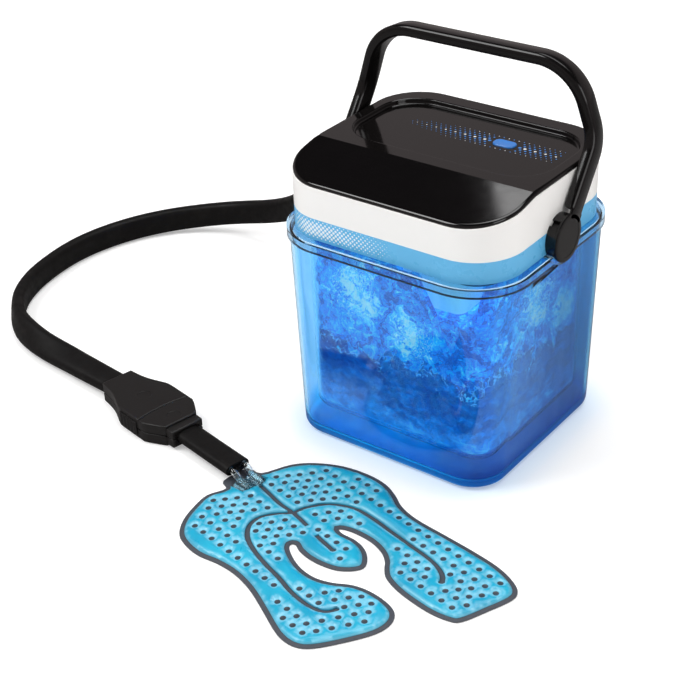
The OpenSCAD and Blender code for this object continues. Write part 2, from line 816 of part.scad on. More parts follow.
module handle_bail() {
    hub = [arm_x, hub_y, hub_z];
    knee = [knee_x, hub_y + knee_back, hub_z + knee_rise];
    corner = [grip_half, hub_y + grip_back, hub_z + grip_rise];
    flip = [-corner[0], corner[1], corner[2]];
    start = [hub + lean * root_r, hub + lean * (hub_r + 0.7), hub + lean * (hub_r + 1.7),
        hub + lean * (hub_r + 12)];
    right = concat(start, rounded_corner(start[3], knee, corner, knee_bend, 5),
        rounded_corner(knee, corner, flip, grip_bend, 9));
    path = concat(right, [[0, corner[1], corner[2]]]);
    dirs = headings(path, lean, [-1, 0, 0]);
    sides = carried([0, -1, 0], dirs);
    last = len(path) - 1;
    // The bail's outer face runs flush with the hub's, so its thick part reaches further in
    half = [for (i = [0 : last])
        let (across = cross(dirs[i], sides[i]), t = i < 2 ? disc_t : bail_t,
            edge = i < 2 ? root_edge : bail_edge, at = path[i] - across * (t - disc_t) / 2)
        [for (q = chamfered(bail_d, t, edge)) at + q[0] * sides[i] + q[1] * across]];
    mirrored = [for (i = [last - 1 : -1 : 0]) [for (p = half[i]) [-p[0], p[1], p[2]]]];
    color([0.07, 0.07, 0.08]) skin(concat(half, mirrored));
}

// Hub disc with a blind bore for the pivot and a slot that holds the bail's thin root
module handle_hub(side) {
    color([0.07, 0.07, 0.08]) translate([0, hub_y, hub_z]) scale([side, 1, 1]) difference() {
        along_x(hub_r, disc_x, disc_x + disc_t);
        along_x(pivot_r + running, disc_x - 1, lid_w / 2 + pin_l + fit);
        rotate([-acos(lean[2]), 0, 0])
            translate([disc_x - 1, -bail_d / 2 - running, root_r])
                cube([disc_t + 2, bail_d + 2 * running, hub_r]);
    }
}

module handle_hub_left() {
    handle_hub(-1);
}

module handle_hub_right() {
    handle_hub(1);
}

// ---- Main hose ----

module main_hose() {
    steps = 2;
    path = open_curve(hose_route, steps);
    turn = [cos(pad_turn), sin(pad_turn), 0];
    dirs = headings(path, [-1, 0, 0], turn);
    rings = [for (i = [0 : len(path) - 1])
        let (flat = unit(cross([0, 0, 1], dirs[i])), up = cross(dirs[i], flat),
            k = floor(i / steps), f = i / steps - k,
            a = hose_twist[k] * (1 - f) + hose_twist[min(k + 1, len(hose_twist) - 1)] * f,
            wide = flat * cos(a) + up * sin(a), thin = cross(dirs[i], wide))
        [for (q = bar_section(hose_w, hose_t, 12)) path[i] + q[0] * wide + q[1] * thin]];
    color([0.05, 0.05, 0.05]) skin(rings);
}

// ---- Coupling ----

// Outline of the whole coupling without its collar
module coupling_outline(inset) {
    half = coupling_w / 2;
    latched = socket_l - latch_l - 3;
    upper = [[0, hose_w / 2 + 3], [8, hose_w / 2 + 4], [latched - 22, half - 9.5],
        [latched - 13, half - 5], [latched - 5, half - 1.5], [latched, half], [socket_l + 6, half],
        [socket_l + 18, half - 6], [socket_l + plug_l - collar_l, half - 12]];
    side = [for (p = upper) [p[0], p[1] - inset]];
    lower = [for (i = [len(side) - 1 : -1 : 0]) [side[i][0], -side[i][1]]];
    translate([socket_u, 0]) polygon(concat(side, lower));
}

module split_disc(r) {
    translate([split_u + split_r - split_sag, 0]) circle(r, $fn = 180);
}

// One moulded half shell: up is 1 for the top and -1 for the bottom
module coupling_shell(up) {
    z = coupling_z;
    translate([0, 0, z]) scale([1, 1, up]) {
        linear_extrude(z - shell_edge) children(0);
        translate([0, 0, z - shell_edge]) linear_extrude(shell_edge) children(1);
    }
}

module socket_2d(inset) {
    difference() {
        coupling_outline(inset);
        split_disc(split_r + fit);
    }
}

module plug_2d(inset) {
    intersection() {
        coupling_outline(inset);
        split_disc(split_r);
    }
    translate([-pad_hose_l - collar_l - eps, -collar_w / 2 + inset])
        square([collar_l + eps, collar_w - 2 * inset]);
}

module latch_window(grow) {
    inner = coupling_w / 2 - latch_d - latch_travel;
    for (s = [-1, 1]) {
        translate([latch_u - grow, 0, coupling_z - latch_h / 2 - grow]) scale([1, s, 1])
            translate([0, inner - grow, 0]) cube([latch_l + 2 * grow, 20, latch_h + 2 * grow]);
    }
}

module water_lines(u0, u1, r) {
    for (s = [-1, 1]) {
        translate([0, s * line_gap / 2, coupling_z]) along_x(r, u0, u1);
    }
}

module coupling_socket(up) {
    on_pad_line() difference() {
        coupling_shell(up) {
            socket_2d(0);
            socket_2d(shell_edge);
        }
        water_lines(socket_u + 6, split_u + 20, valve_r + running);
        latch_window(fit);
        translate([split_u - 32, 0, coupling_z + up * coupling_z]) cylinder(r = 7, h = 1, center = true);
    }
}

module coupling_socket_top() {
    color([0.1, 0.1, 0.1]) coupling_socket(1);
}

module coupling_socket_bottom() {
    color([0.12, 0.12, 0.12]) coupling_socket(-1);
}

module coupling_valves() {
    color("lightgray") on_pad_line() difference() {
        water_lines(socket_u + 6, valve_end, valve_r);
        water_lines(socket_u + 5, valve_end + 1, nipple_r + running);
    }
}

module coupling_plug(up) {
    on_pad_line() difference() {
        coupling_shell(up) {
            plug_2d(0);
            plug_2d(shell_edge);
        }
        water_lines(split_u - 10, -pad_hose_l + 1, nipple_r + running);
        translate([-pad_hose_l - collar_l, 0, coupling_z]) scale([1, 1, up])
            translate([0, -coupling_w / 2, collar_h / 2]) cube([collar_l + 1, coupling_w, 20]);
        translate([split_u + 17, 0, coupling_z + up * coupling_z]) cylinder(r = 7, h = 1, center = true);
    }
}

module coupling_plug_top() {
    color([0.1, 0.1, 0.1]) coupling_plug(1);
}

module coupling_plug_bottom() {
    color([0.12, 0.12, 0.12]) coupling_plug(-1);
}

module coupling_nipples() {
    color("silver") on_pad_line() difference() {
        water_lines(valve_end - nipple_in, -pad_hose_l, nipple_r);
        water_lines(valve_end - nipple_in - 1, -pad_hose_l + 1, nipple_r - 1.6);
        for (u = o_ring_u) o_ring(u, 0.6);
    }
}

module o_ring(u, r) {
    for (s = [-1, 1]) {
        translate([u, s * line_gap / 2, coupling_z]) rotate([0, 90, 0])
            rotate_extrude() translate([nipple_r - 0.5, 0]) circle(r, $fn = 24);
    }
}

module coupling_o_rings() {
    color("black") on_pad_line() for (u = o_ring_u) o_ring(u, 0.5);
}

module coupling_latch(s) {
    depth = latch_d + 2.5;
    inner = coupling_w / 2 - latch_d;
    on_pad_line() translate([latch_u, 0, coupling_z - latch_h / 2]) {
        translate([0, s > 0 ? inner : -inner - depth + 1, 0]) cube([latch_l, depth - 1, latch_h]);
        for (i = [0 : 5]) {
            translate([3 + i * 4, s > 0 ? inner + depth - 1.5 : -inner - depth, 0]) cube([2, 1.5, latch_h]);
        }
    }
}

module coupling_latch_left() {
    color([0.08, 0.08, 0.08]) coupling_latch(1);
}

module coupling_latch_right() {
    color([0.08, 0.08, 0.08]) coupling_latch(-1);
}

// ---- Pad ----

module pad_hose() {
    color([0.1, 0.09, 0.09]) on_pad_line() difference() {
        translate([-pad_hose_l, 0, coupling_z]) rotate([0, 90, 0]) linear_extrude(pad_hose_l)
            rounded_rect(pad_hose_t, pad_hose_w, pad_hose_t / 2 - 1);
        water_lines(-pad_hose_l - 1, 1, line_r);
    }
}

module pad_tubes() {
    color("lightcyan", 0.6) on_pad_line() for (s = [-1, 1]) {
        path = [[0, s * line_gap / 2, coupling_z], [4, s * line_gap / 2, coupling_z],
            [11, s * line_gap / 2, pad_line_z], [tube_end, s * line_gap / 2, pad_line_z]];
        difference() {
            tube_run(path, line_r + 1.1);
            tube_run(path, line_r);
        }
    }
}

module pad_inlet() {
    color("powderblue", 0.7) on_pad_line() difference() {
        translate([block_u, -14, backing_t]) cube([tube_end - block_u, 28, 8]);
        for (s = [-1, 1]) {
            translate([0, s * line_gap / 2, pad_line_z])
                along_x(line_r + 1.1 + running, block_u - 1, tube_end + 1);
        }
    }
}

module pad_shape() {
    polygon(closed_curve(pad_outline, 2));
}

module pad_seams() {
    strip(seam_left, seam_w);
    strip(seam_right, seam_w);
    strip(seam_middle, seam_w);
    strip(seam_end, seam_w);
    for (p = [seam_end[1], seam_left[12], seam_right[11]]) translate(p) circle(3.2, $fn = 13);
}

module pad_backing() {
    color([0.25, 0.27, 0.3]) on_pad_line() linear_extrude(backing_t) pad_shape();
}

// Height of the filled film above the backing, lower towards the pad's edge
function film_height(q) =
    bladder_h * (0.3 + 0.7 * sqrt(min(1, distance_to_ring(q, pad_outline) / crown_w)));

// Quilted surface: square cells, each with a weld dot drawn down at its centre
module quilt() {
    low = [-8, -118];
    nx = ceil(304 / dot_pitch);
    ny = ceil(212 / dot_pitch);
    n = nx + 1;
    corners = [for (j = [0 : ny]) for (i = [0 : nx])
        let (q = low + dot_pitch * [i, j]) [q[0], q[1], film_height(q)]];
    dots = [for (j = [0 : ny - 1]) for (i = [0 : nx - 1])
        let (q = low + dot_pitch * [i + 0.5, j + 0.5]) [q[0], q[1], 0.4 * film_height(q)]];
    feet = [for (p = [0, nx, n * ny + nx, n * ny]) [corners[p][0], corners[p][1], 0]];
    c = len(corners);
    f = c + len(dots);
    cells = [for (j = [0 : ny - 1]) for (i = [0 : nx - 1])
        let (a = j * n + i, dot = c + j * nx + i)
        each [[dot, a + 1, a], [dot, a + n + 1, a + 1], [dot, a + n, a + n + 1], [dot, a, a + n]]];
    front = concat([for (i = [0 : nx]) i], [f + 1, f]);
    back = concat([for (i = [nx : -1 : 0]) ny * n + i], [f + 3, f + 2]);
    left = concat([for (j = [ny : -1 : 0]) j * n], [f, f + 3]);
    right = concat([for (j = [0 : ny]) j * n + nx], [f + 2, f + 1]);
    polyhedron(concat(corners, dots, feet),
        concat(cells, [front, back, left, right, [f, f + 1, f + 2, f + 3]]));
}

module pad_bladder() {
    color("deepskyblue") on_pad_line() translate([0, 0, backing_t])
    resize([0, 0, bladder_h]) intersection() {
        quilt();
        linear_extrude(bladder_h + 1) difference() {
            offset(delta = -border_w) pad_shape();
            pad_seams();
            translate([-20, -20]) square([20 + tube_end + fit, 40]);
        }
    }
}

tub_shell();
tub_liner();
tub_rim();
lid_skirt();
lid_shell();
lid_top_cover();
lid_underplate();
lid_seal();
lid_screws();
power_button();
button_switch();
control_board();
board_screws();
pump_housing();
pump_cover();
pump_motor();
pump_shaft();
impeller();
intake_tube();
intake_filter();
outlet_tube();
return_tube();
hose_gland();
strain_relief();
dc_inlet();
hub_boss_left();
hub_boss_right();
handle_bail();
handle_hub_left();
handle_hub_right();
main_hose();
coupling_socket_top();
coupling_socket_bottom();
coupling_valves();
coupling_latch_left();
coupling_latch_right();
coupling_plug_top();
coupling_plug_bottom();
coupling_nipples();
coupling_o_rings();
pad_hose();
pad_tubes();
pad_inlet();
pad_backing();
pad_bladder();
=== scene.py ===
"""Looks of the hot cold therapy machine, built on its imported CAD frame. Metres; helpers take millimetres."""

import math

import bmesh
import bpy
from mathutils import Matrix, Vector, noise
from mathutils.geometry import delaunay_2d_cdt, intersect_point_line


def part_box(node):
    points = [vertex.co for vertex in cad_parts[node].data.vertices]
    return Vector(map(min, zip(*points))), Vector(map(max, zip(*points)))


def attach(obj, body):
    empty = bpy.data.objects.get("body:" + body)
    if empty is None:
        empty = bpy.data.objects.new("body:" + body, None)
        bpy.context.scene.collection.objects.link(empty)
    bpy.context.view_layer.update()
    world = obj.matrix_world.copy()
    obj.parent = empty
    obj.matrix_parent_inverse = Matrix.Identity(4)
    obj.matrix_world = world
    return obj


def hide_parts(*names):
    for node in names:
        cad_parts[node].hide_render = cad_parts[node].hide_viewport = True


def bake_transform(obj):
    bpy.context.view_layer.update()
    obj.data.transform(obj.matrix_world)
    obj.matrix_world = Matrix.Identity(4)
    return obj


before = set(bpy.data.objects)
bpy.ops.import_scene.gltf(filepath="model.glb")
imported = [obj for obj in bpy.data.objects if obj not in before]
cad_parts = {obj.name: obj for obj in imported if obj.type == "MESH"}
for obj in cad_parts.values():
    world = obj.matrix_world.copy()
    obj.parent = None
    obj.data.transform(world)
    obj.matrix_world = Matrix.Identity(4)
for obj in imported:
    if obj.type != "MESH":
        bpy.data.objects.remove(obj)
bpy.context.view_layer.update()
scene = bpy.context.scene
MM = 0.001


# ---------- camera ----------

camera_data = bpy.data.cameras.new("camera")
camera = bpy.data.objects.new("camera", camera_data)
scene.collection.objects.link(camera)
scene.camera = camera
camera_data.lens = 78.34
camera_data.sensor_width = 36
camera_data.clip_end = 50
right = Vector((0.80290, 0.59499, -0.03663))
upward = Vector((-0.28538, 0.43759, 0.85268))
backward = Vector((0.52337, -0.67417, 0.52114))
turned = Matrix((right, upward, backward)).transposed().to_4x4()
camera.matrix_world = Matrix.Translation((0.68339, -1.02931, 0.82286)) @ turned
scene.view_settings.view_transform = "Standard"


# ---------- sizes, in millimetres, as in the CAD part ----------

def box_mm(node):
    low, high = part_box(node)
    return low / MM, high / MM


def middle_mm(node):
    low, high = box_mm(node)
    return (low + high) / 2


FOOT = dict(w=219, d=209, r=35, z=6, edge=8)
MOUTH = dict(w=241, d=219, r=52.5, z=200)
TUB_WALL, TUB_FLOOR = 3, 6
VESSEL = dict(w=198, d=178, r=24, z=18, top=199.9, wall=2.4, floor=2.6, edge=14)
SADDLE_R = 24.9
ICE = dict(w=191.8, d=171.8, r=21, z=22, top=192, edge=12)
ICE_DIP = dict(x=68, y=-80, r=44, depth=36)
LID_W, LID_D, LID_R = 230, 208, 47
LID_TOP, FRONT_DROP, CREASE_Y = 275, 12, 38
COVER_WALL = 2.0
RECESS = dict(w=204, d=106, r=36, y=31, depth=5)
BUTTON = dict(x=35, y=42, w=22, d=13, stem_z=263.55, flange_z=(265.7, 267.2))
HUB = Vector((0, -1, 220.5))
HUB_R, PIN_HOLE_R, DISC_X, DISC_T = 22, 6.06, 123.3, 3.2
PAD_AT, PAD_TURN = Vector((-96, -200, 0)), math.radians(-12)
SPLIT_U, SOCKET_U, PLUG_END = -114, -194, -76
COUPLING_W, COUPLING_T, HALF_GAP = 60, 22, 0.12
SOCKET_BORE_R, PLUG_BORE_R = 6.02, 3.97
LATCH = dict(u0=-145, u1=-117, z0=4, z1=18, v0=22, v1=31, teeth=5, room=0.3, window_v=19.7)
BACKING_T = 1.2
LINE_GAP = 14


# ---------- mesh helpers ----------

def make_object(name, points, faces, body, slot=None, smooth=35):
    """A mesh from points in millimetres, shaded smooth up to an angle, riding on a body."""
    mesh = bpy.data.meshes.new(name)
    mesh.from_pydata([Vector(p) * MM for p in points], [], faces)
    mesh.validate()
    shape = bmesh.new()
    shape.from_mesh(mesh)
    bmesh.ops.remove_doubles(shape, verts=shape.verts, dist=1e-6)
    bmesh.ops.recalc_face_normals(shape, faces=shape.faces)
    shape.to_mesh(mesh)
    shape.free()
    mesh.shade_smooth()
    mesh.set_sharp_from_angle(angle=math.radians(smooth))
    piece = bpy.data.objects.new(name, mesh)
    scene.collection.objects.link(piece)
    if body:
        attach(piece, body)
    return piece


def bake_modifiers(piece):
    """Turns the piece's modifiers into plain mesh."""
    bpy.context.view_layer.update()
    graph = bpy.context.evaluated_depsgraph_get()
    mesh = bpy.data.meshes.new_from_object(piece.evaluated_get(graph))
    materials = [m for m in piece.data.materials]
    piece.modifiers.clear()
    piece.data = mesh
    mesh.materials.clear()
    for m in materials:
        mesh.materials.append(m)
    return piece


def loft_faces(count, size, closed=False):
    """Faces between rings of the same size, with end caps, or joined end to end when closed."""
    faces = []
    for k in range(count if closed else count - 1):
        a, b = k * size, (k + 1) % count * size
        for i in range(size):
            j = (i + 1) % size
            faces.append((a + i, a + j, b + j, b + i))
    if not closed:
        faces.append(tuple(range(size - 1, -1, -1)))
        faces.append(tuple((count - 1) * size + i for i in range(size)))
    return faces


def loft(name, rings, body, slot=None, closed=False, smooth=35):
    points = [p for ring in rings for p in ring]
    faces = loft_faces(len(rings), len(rings[0]), closed)
    return make_object(name, points, faces, body, slot, smooth)


def rounded_rect(w, d, r, z, x=0.0, y=0.0, corner=10, side=1):
    """A rounded rectangle as a ring of points, with corner steps a quarter turn and side steps a side."""
    r = min(r, w / 2 - 0.01, d / 2 - 0.01)
    ring = []
    ends = [(w / 2 - r, d / 2 - r, 0), (-w / 2 + r, d / 2 - r, 90),
            (-w / 2 + r, -d / 2 + r, 180), (w / 2 - r, -d / 2 + r, 270)]
    for k, (cx, cy, start) in enumerate(ends):
        arc = []
        for i in range(corner + 1):
            a = math.radians(start + 90 * i / corner)
            arc.append((x + cx + r * math.cos(a), y + cy + r * math.sin(a), z))
        ring += arc
        nx, ny, begin = ends[(k + 1) % 4]
        a = math.radians(begin)
        goal = (x + nx + r * math.cos(a), y + ny + r * math.sin(a), z)
        last = arc[-1]
        for i in range(1, side):
            f = i / side
            ring.append((last[0] + (goal[0] - last[0]) * f, last[1] + (goal[1] - last[1]) * f, z))
    return ring


def quarter(r, steps, flip=False):
    """Steps round a quarter circle as (inset, rise) pairs from (r, 0) to (0, r)."""
    pairs = [(r - r * math.sin(math.radians(90 * i / steps)), r - r * math.cos(math.radians(90 * i / steps)))
             for i in range(steps + 1)]
    return pairs[::-1] if flip else pairs


def curve_steps(a, b, c, d, steps):
    """Points of a Catmull-Rom curve from b up to c."""
    out = []
    for k in range(steps):
        t = k / steps
        out.append(0.5 * (2 * b + (c - a) * t + (2 * a - 5 * b + 4 * c - d) * t * t
                          + (3 * b - a - 3 * c + d) * t ** 3))
    return out


def smooth_closed(points, steps):
    """A smooth curve through a closed ring of 2-D points."""
    out = []
    m = len(points)
    for i in range(m):
        out += curve_steps(*(Vector(points[(i + k) % m]) for k in (-1, 0, 1, 2)), steps)
    return out


def smooth_open(points, steps):
    """A smooth curve through an open path of points."""
    p = [Vector(q) for q in points]
    p = [2 * p[0] - p[1]] + p + [2 * p[-1] - p[-2]]
    out = []
    for i in range(1, len(p) - 2):
        out += curve_steps(*p[i - 1:i + 3], steps)
    return out + [p[-2]]


def headings(path, first, last):
    out = [(path[i + 1] - path[i - 1]).normalized() for i in range(1, len(path) - 1)]
    return [Vector(first).normalized()] + out + [Vector(last).normalized()]


def offset_ring(ring, inset):
    """The ring of 2-D points moved inwards along its corners' normals (the ring runs anticlockwise)."""
    out = []
    m = len(ring)
    for i in range(m):
        a, b, c = Vector(ring[i - 1]), Vector(ring[i]), Vector(ring[(i + 1) % m])
        n1 = Vector((-(b - a).y, (b - a).x)).normalized()
        n2 = Vector((-(c - b).y, (c - b).x)).normalized()
        n = (n1 + n2).normalized()
        out.append(b + n * inset / max(0.5, n.dot(n1)))
    return out


def slab(name, outline, z0, z1, bevel, body, slot=None, place=None, steps=3):
    """An outline raised from z0 to z1 with rounded edges; place turns (u, v, z) into the row frame."""
    rings = []
    for inset, rise in quarter(bevel, steps):
        rings.append([(p.x, p.y, z0 + rise) for p in offset_ring(outline, inset)])
    for inset, rise in quarter(bevel, steps, True):
        rings.append([(p.x, p.y, z1 - rise) for p in offset_ring(outline, inset)])
    if place:
        rings = [[place(*p) for p in ring] for ring in rings]
    return loft(name, rings, body, slot)


def circle(count):
    """Cosine and sine of each of count points round a circle."""
    return [(math.cos(math.tau * i / count), math.sin(math.tau * i / count)) for i in range(count)]


def disc_rings(centre, axis, profile, count=48):
    """Rings round an axis from (distance, radius) pairs."""
    axis = Vector(axis).normalized()
    side = axis.orthogonal().normalized()
    other = axis.cross(side)
    rings = []
    for along, radius in profile:
        at = Vector(centre) + axis * along
        rings.append([at + radius * (c * side + s * other) for c, s in circle(count)])
    return rings


def area(ring):
    """Area of a ring of 2-D points, negative when it runs clockwise."""
    return sum(ring[i - 1].x * ring[i].y - ring[i].x * ring[i - 1].y for i in range(len(ring))) / 2


def anticlockwise(ring):
    return ring[::-1] if area(ring) < 0 else ring


def inside(p, ring):
    """Whether a 2-D point lies inside a closed ring."""
    hit = False
    j = len(ring) - 1
    for i in range(len(ring)):
        a, b = ring[i], ring[j]
        if (a[1] > p[1]) != (b[1] > p[1]) and p[0] < (b[0] - a[0]) * (p[1] - a[1]) / (b[1] - a[1]) + a[0]:
            hit = not hit
        j = i
    return hit


def centre_of(points, face):
    """Centre of a triangle, given by its places in a list of 2-D points."""
    return sum((points[i] for i in face), Vector((0, 0))) / 3


def cut(piece, tool):
    """Takes the tool's solid out of the piece and deletes the tool."""
    change = piece.modifiers.new("cut", "BOOLEAN")
    change.operation = "DIFFERENCE"
    change.solver = "EXACT"
    change.object = tool
    bake_modifiers(piece)
    bpy.data.objects.remove(tool)
    return piece


def joined(pieces):
    """Joins pieces into the first one."""
    first = pieces[0]
    shape = bmesh.new()
    shape.from_mesh(first.data)
    for other in pieces[1:]:
        copy = other.data.copy()
        copy.transform(first.matrix_world.inverted() @ other.matrix_world)
        shape.from_mesh(copy)
        bpy.data.meshes.remove(copy)
        bpy.data.objects.remove(other)
    shape.to_mesh(first.data)
    shape.free()
    return first


# ---------- material helpers ----------

class Tree:
    """Nodes of a material or of the world."""

    def __init__(self, tree):
        self.tree = tree

    def node(self, kind, inputs=(), **settings):
        n = self.tree.nodes.new(kind)
        for key, value in settings.items():
            setattr(n, key, value)
        for key, value in dict(inputs).items():
            self.put(n.inputs[key], value)
        return n

    def put(self, socket, value):
        if isinstance(value, bpy.types.NodeSocket):
            self.tree.links.new(value, socket)
        else:
            socket.default_value = value

    def math(self, operation, a, b=0.0):
        return self.node("ShaderNodeMath", {0: a, 1: b}, operation=operation).outputs[0]

    def chain(self, operation, values):
        total = values[0]
        for value in values[1:]:
            total = self.math(operation, total, value)
        return total

    def plus(self, *values):
        return self.chain("ADD", values)

    def times(self, *values):
        return self.chain("MULTIPLY", values)

    def minus(self, a, b):
        return self.math("SUBTRACT", a, b)

    def most(self, a, b):
        return self.math("MAXIMUM", a, b)

    def hypot(self, a, b):
        return self.math("SQRT", self.plus(self.times(a, a), self.times(b, b)))

    def vector(self, operation, a, b=(0, 0, 0)):
        n = self.node("ShaderNodeVectorMath", {0: a, 1: b}, operation=operation)
        return n.outputs["Value" if operation == "DISTANCE" else "Vector"]

    def span(self, value, low, high, to_low=0.0, to_high=1.0, smooth=False):
        """Maps low to high onto to_low to to_high, and holds the ends."""
        return self.node("ShaderNodeMapRange", {"Value": value, "From Min": low, "From Max": high,
                                                "To Min": to_low, "To Max": to_high},
                         interpolation_type="SMOOTHSTEP" if smooth else "LINEAR").outputs[0]

    def mix(self, factor, a, b):
        n = self.node("ShaderNodeMix", data_type="RGBA")
        self.put(n.inputs[0], factor)
        self.put(n.inputs[6], a if isinstance(a, bpy.types.NodeSocket) else (*a[:3], 1))
        self.put(n.inputs[7], b if isinstance(b, bpy.types.NodeSocket) else (*b[:3], 1))
        return n.outputs[2]

    def ramp(self, value, stops):
        n = self.node("ShaderNodeValToRGB", {"Fac": value})
        ramp = n.color_ramp
        while len(ramp.elements) < len(stops):
            ramp.elements.new(0.5)
        for element, (at, colour) in zip(ramp.elements, stops):
            element.position = at
            element.color = (*colour, 1)
        return n.outputs["Color"]

    def split(self, vector):
        return self.node("ShaderNodeSeparateXYZ", {0: vector}).outputs

    def rays(self):
        """Whether a ray is seen straight or through clear parts, and whether it is a mirror image."""
        path = self.node("ShaderNodeLightPath").outputs
        through = self.most(path["Is Camera Ray"], path["Is Transmission Ray"])
        mirrored = self.times(path["Is Glossy Ray"], self.minus(1.0, path["Is Transmission Ray"]))
        return through, mirrored


class Look(Tree):
    """A node material under construction."""

    def __init__(self, name):
        self.material = bpy.data.materials.new(name)
        self.material.use_nodes = True
        super().__init__(self.material.node_tree)
        self.shader = self.tree.nodes["Principled BSDF"]
        self._place = None

    def set(self, **values):
        """Sets the shader's sockets, such as Base_Color."""
        for key, value in values.items():
            self.put(self.shader.inputs[key.replace("_", " ")], value)

    def place(self):
        """The surface's place in millimetres."""
        if self._place is None:
            at = self.node("ShaderNodeTexCoord").outputs["Object"]
            self._place = self.vector("MULTIPLY", at, (1000, 1000, 1000))
        return self._place

    def stretched(self, scale, at=None, turn=(0, 0, 0)):
        """The place, scaled along each axis and turned."""
        return self.node("ShaderNodeMapping", {"Vector": at or self.place(), "Scale": scale,
                                               "Rotation": turn}).outputs[0]

    def noise(self, scale, detail=3.0, rough=0.5, at=None, distortion=0.0, colour=False):
        n = self.node("ShaderNodeTexNoise", {"Vector": at or self.place(), "Scale": scale, "Detail": detail,
                                             "Roughness": rough, "Distortion": distortion})
        return n.outputs["Color" if colour else "Fac"]

    def cells(self, scale, feature="F1", at=None, output="Distance"):
        n = self.node("ShaderNodeTexVoronoi", {"Vector": at or self.place(), "Scale": scale}, feature=feature)
        return n.outputs[output]

    def bump(self, height, strength, distance):
        return self.node("ShaderNodeBump", {"Height": height, "Strength": strength,
                                            "Distance": distance * MM}).outputs[0]

    def done(self):
        return self.material


def plastic(name, colour, rough=0.3, grain=0.6, bump=0.05, coat=0.0, spread=0.06, tone=0.06, specular=0.5,
            glow=None):
    """Moulded plastic: slight tone and gloss changes over a fine grain; glow is the colour and strength of a
    painted glow (emission).
    """
    look = Look(name)
    wide = look.noise(0.02, 3)
    fine = look.noise(grain, 4, 0.6)
    dark = tuple(c * (1 - tone) for c in colour)
    light = tuple(min(1, c * (1 + tone)) for c in colour)
    look.set(Base_Color=look.mix(wide, dark, light),
             Roughness=look.span(look.noise(0.06, 4), 0.3, 0.7, rough - spread / 2, rough + spread / 2),
             Normal=look.bump(fine, bump, 0.05))
    look.set(Coat_Weight=coat, Coat_Roughness=0.04, Specular_IOR_Level=specular)
    if glow:
        look.set(Emission_Color=(*glow[0], 1), Emission_Strength=glow[1])
    return look.done()


def metal(name, colour, rough=0.25):
    look = Look(name)
    brushed = look.noise(0.25, 4, 0.6, look.stretched((1, 1, 14)))
    look.set(Base_Color=look.mix(brushed, tuple(c * 0.85 for c in colour), colour),
             Roughness=look.span(brushed, 0.3, 0.7, rough - 0.06, rough + 0.08),
             Normal=look.bump(brushed, 0.08, 0.05))
    look.set(Metallic=1)
    return look.done()


def clear(name, tint, rough=0.03, ior=1.46, bump=0.04, scale=0.03):
    """Clear moulded plastic with faint flow waves, as a Look that can still be changed."""
    look = Look(name)
    wave = look.noise(scale, 3, 0.5)
    look.set(Base_Color=(*tint, 1),
             Roughness=look.span(look.noise(0.2, 3), 0.35, 0.7, rough, rough * 1.8 + 0.01),
             Normal=look.bump(wave, bump, 1.0))
    look.set(Transmission_Weight=1, IOR=ior)
    return look


# ---------- materials ----------

def tub_plastic():
    """Blue tinted clear tub: deep blue in the thick foot, pale above it, with painted shade on the right and
    far side and a painted glow in the foot.
    """
    look = clear("tub_clear_blue", (0.6, 0.8, 1), rough=0.0, bump=0.02)
    x, y, z = look.split(look.place())
    across = look.plus(look.times(x, 0.8), look.times(y, 0.6))
    wander = look.plus(z, look.span(look.noise(0.03, 3), 0, 1, -6, 6))
    low = look.span(wander, 9, 30, 0, 1, smooth=True)
    streak = look.noise(0.02, 4, 0.6, look.stretched((1, 1, 0.25)))
    drawn = look.noise(0.09, 3, 0.5, look.stretched((1, 1, 0.06)))
    streak = look.plus(look.times(streak, 0.4), look.span(drawn, 0.35, 0.65, 0, 0.6))
    # painted shade: lit and shaded copies of the pale blue, mixed by place so that the right and far side read
    # as in shade
    lit = look.mix(streak, (0.32, 0.66, 0.98), (0.52, 0.82, 1.0))
    shaded = look.mix(streak, (0.03, 0.24, 0.48), (0.11, 0.38, 0.64))
    pale = look.mix(look.span(across, 40, 130, smooth=True), lit, shaded)
    # painted shade: the foot's blue grows darker toward the right and far side
    foot = look.ramp(look.span(across, -160, 160), [
        (0.0, (0.0, 0.55, 0.95)), (0.42, (0.0, 0.48, 0.92)), (0.56, (0.0, 0.12, 0.44)),
        (0.64, (0.0, 0.15, 0.52)), (0.85, (0.0, 0.15, 0.50)), (1.0, (0.0, 0.13, 0.42))])
    deep = look.mix(look.span(look.noise(0.03, 4), 0.35, 0.65, 0, 0.35), foot, (0.0, 0.12, 0.42))
    # painted glow: emission in the foot, strongest along the bottom edge, lifts it out of its shade
    look.set(Base_Color=look.mix(low, deep, pale), Emission_Color=look.mix(
        low, look.mix(look.span(z, 3, 10), (0.0, 0.11, 0.30), (0.0, 0.03, 0.08)), (0, 0, 0)))
    look.set(Emission_Strength=0.3, Specular_IOR_Level=0.15)
    return look.done()


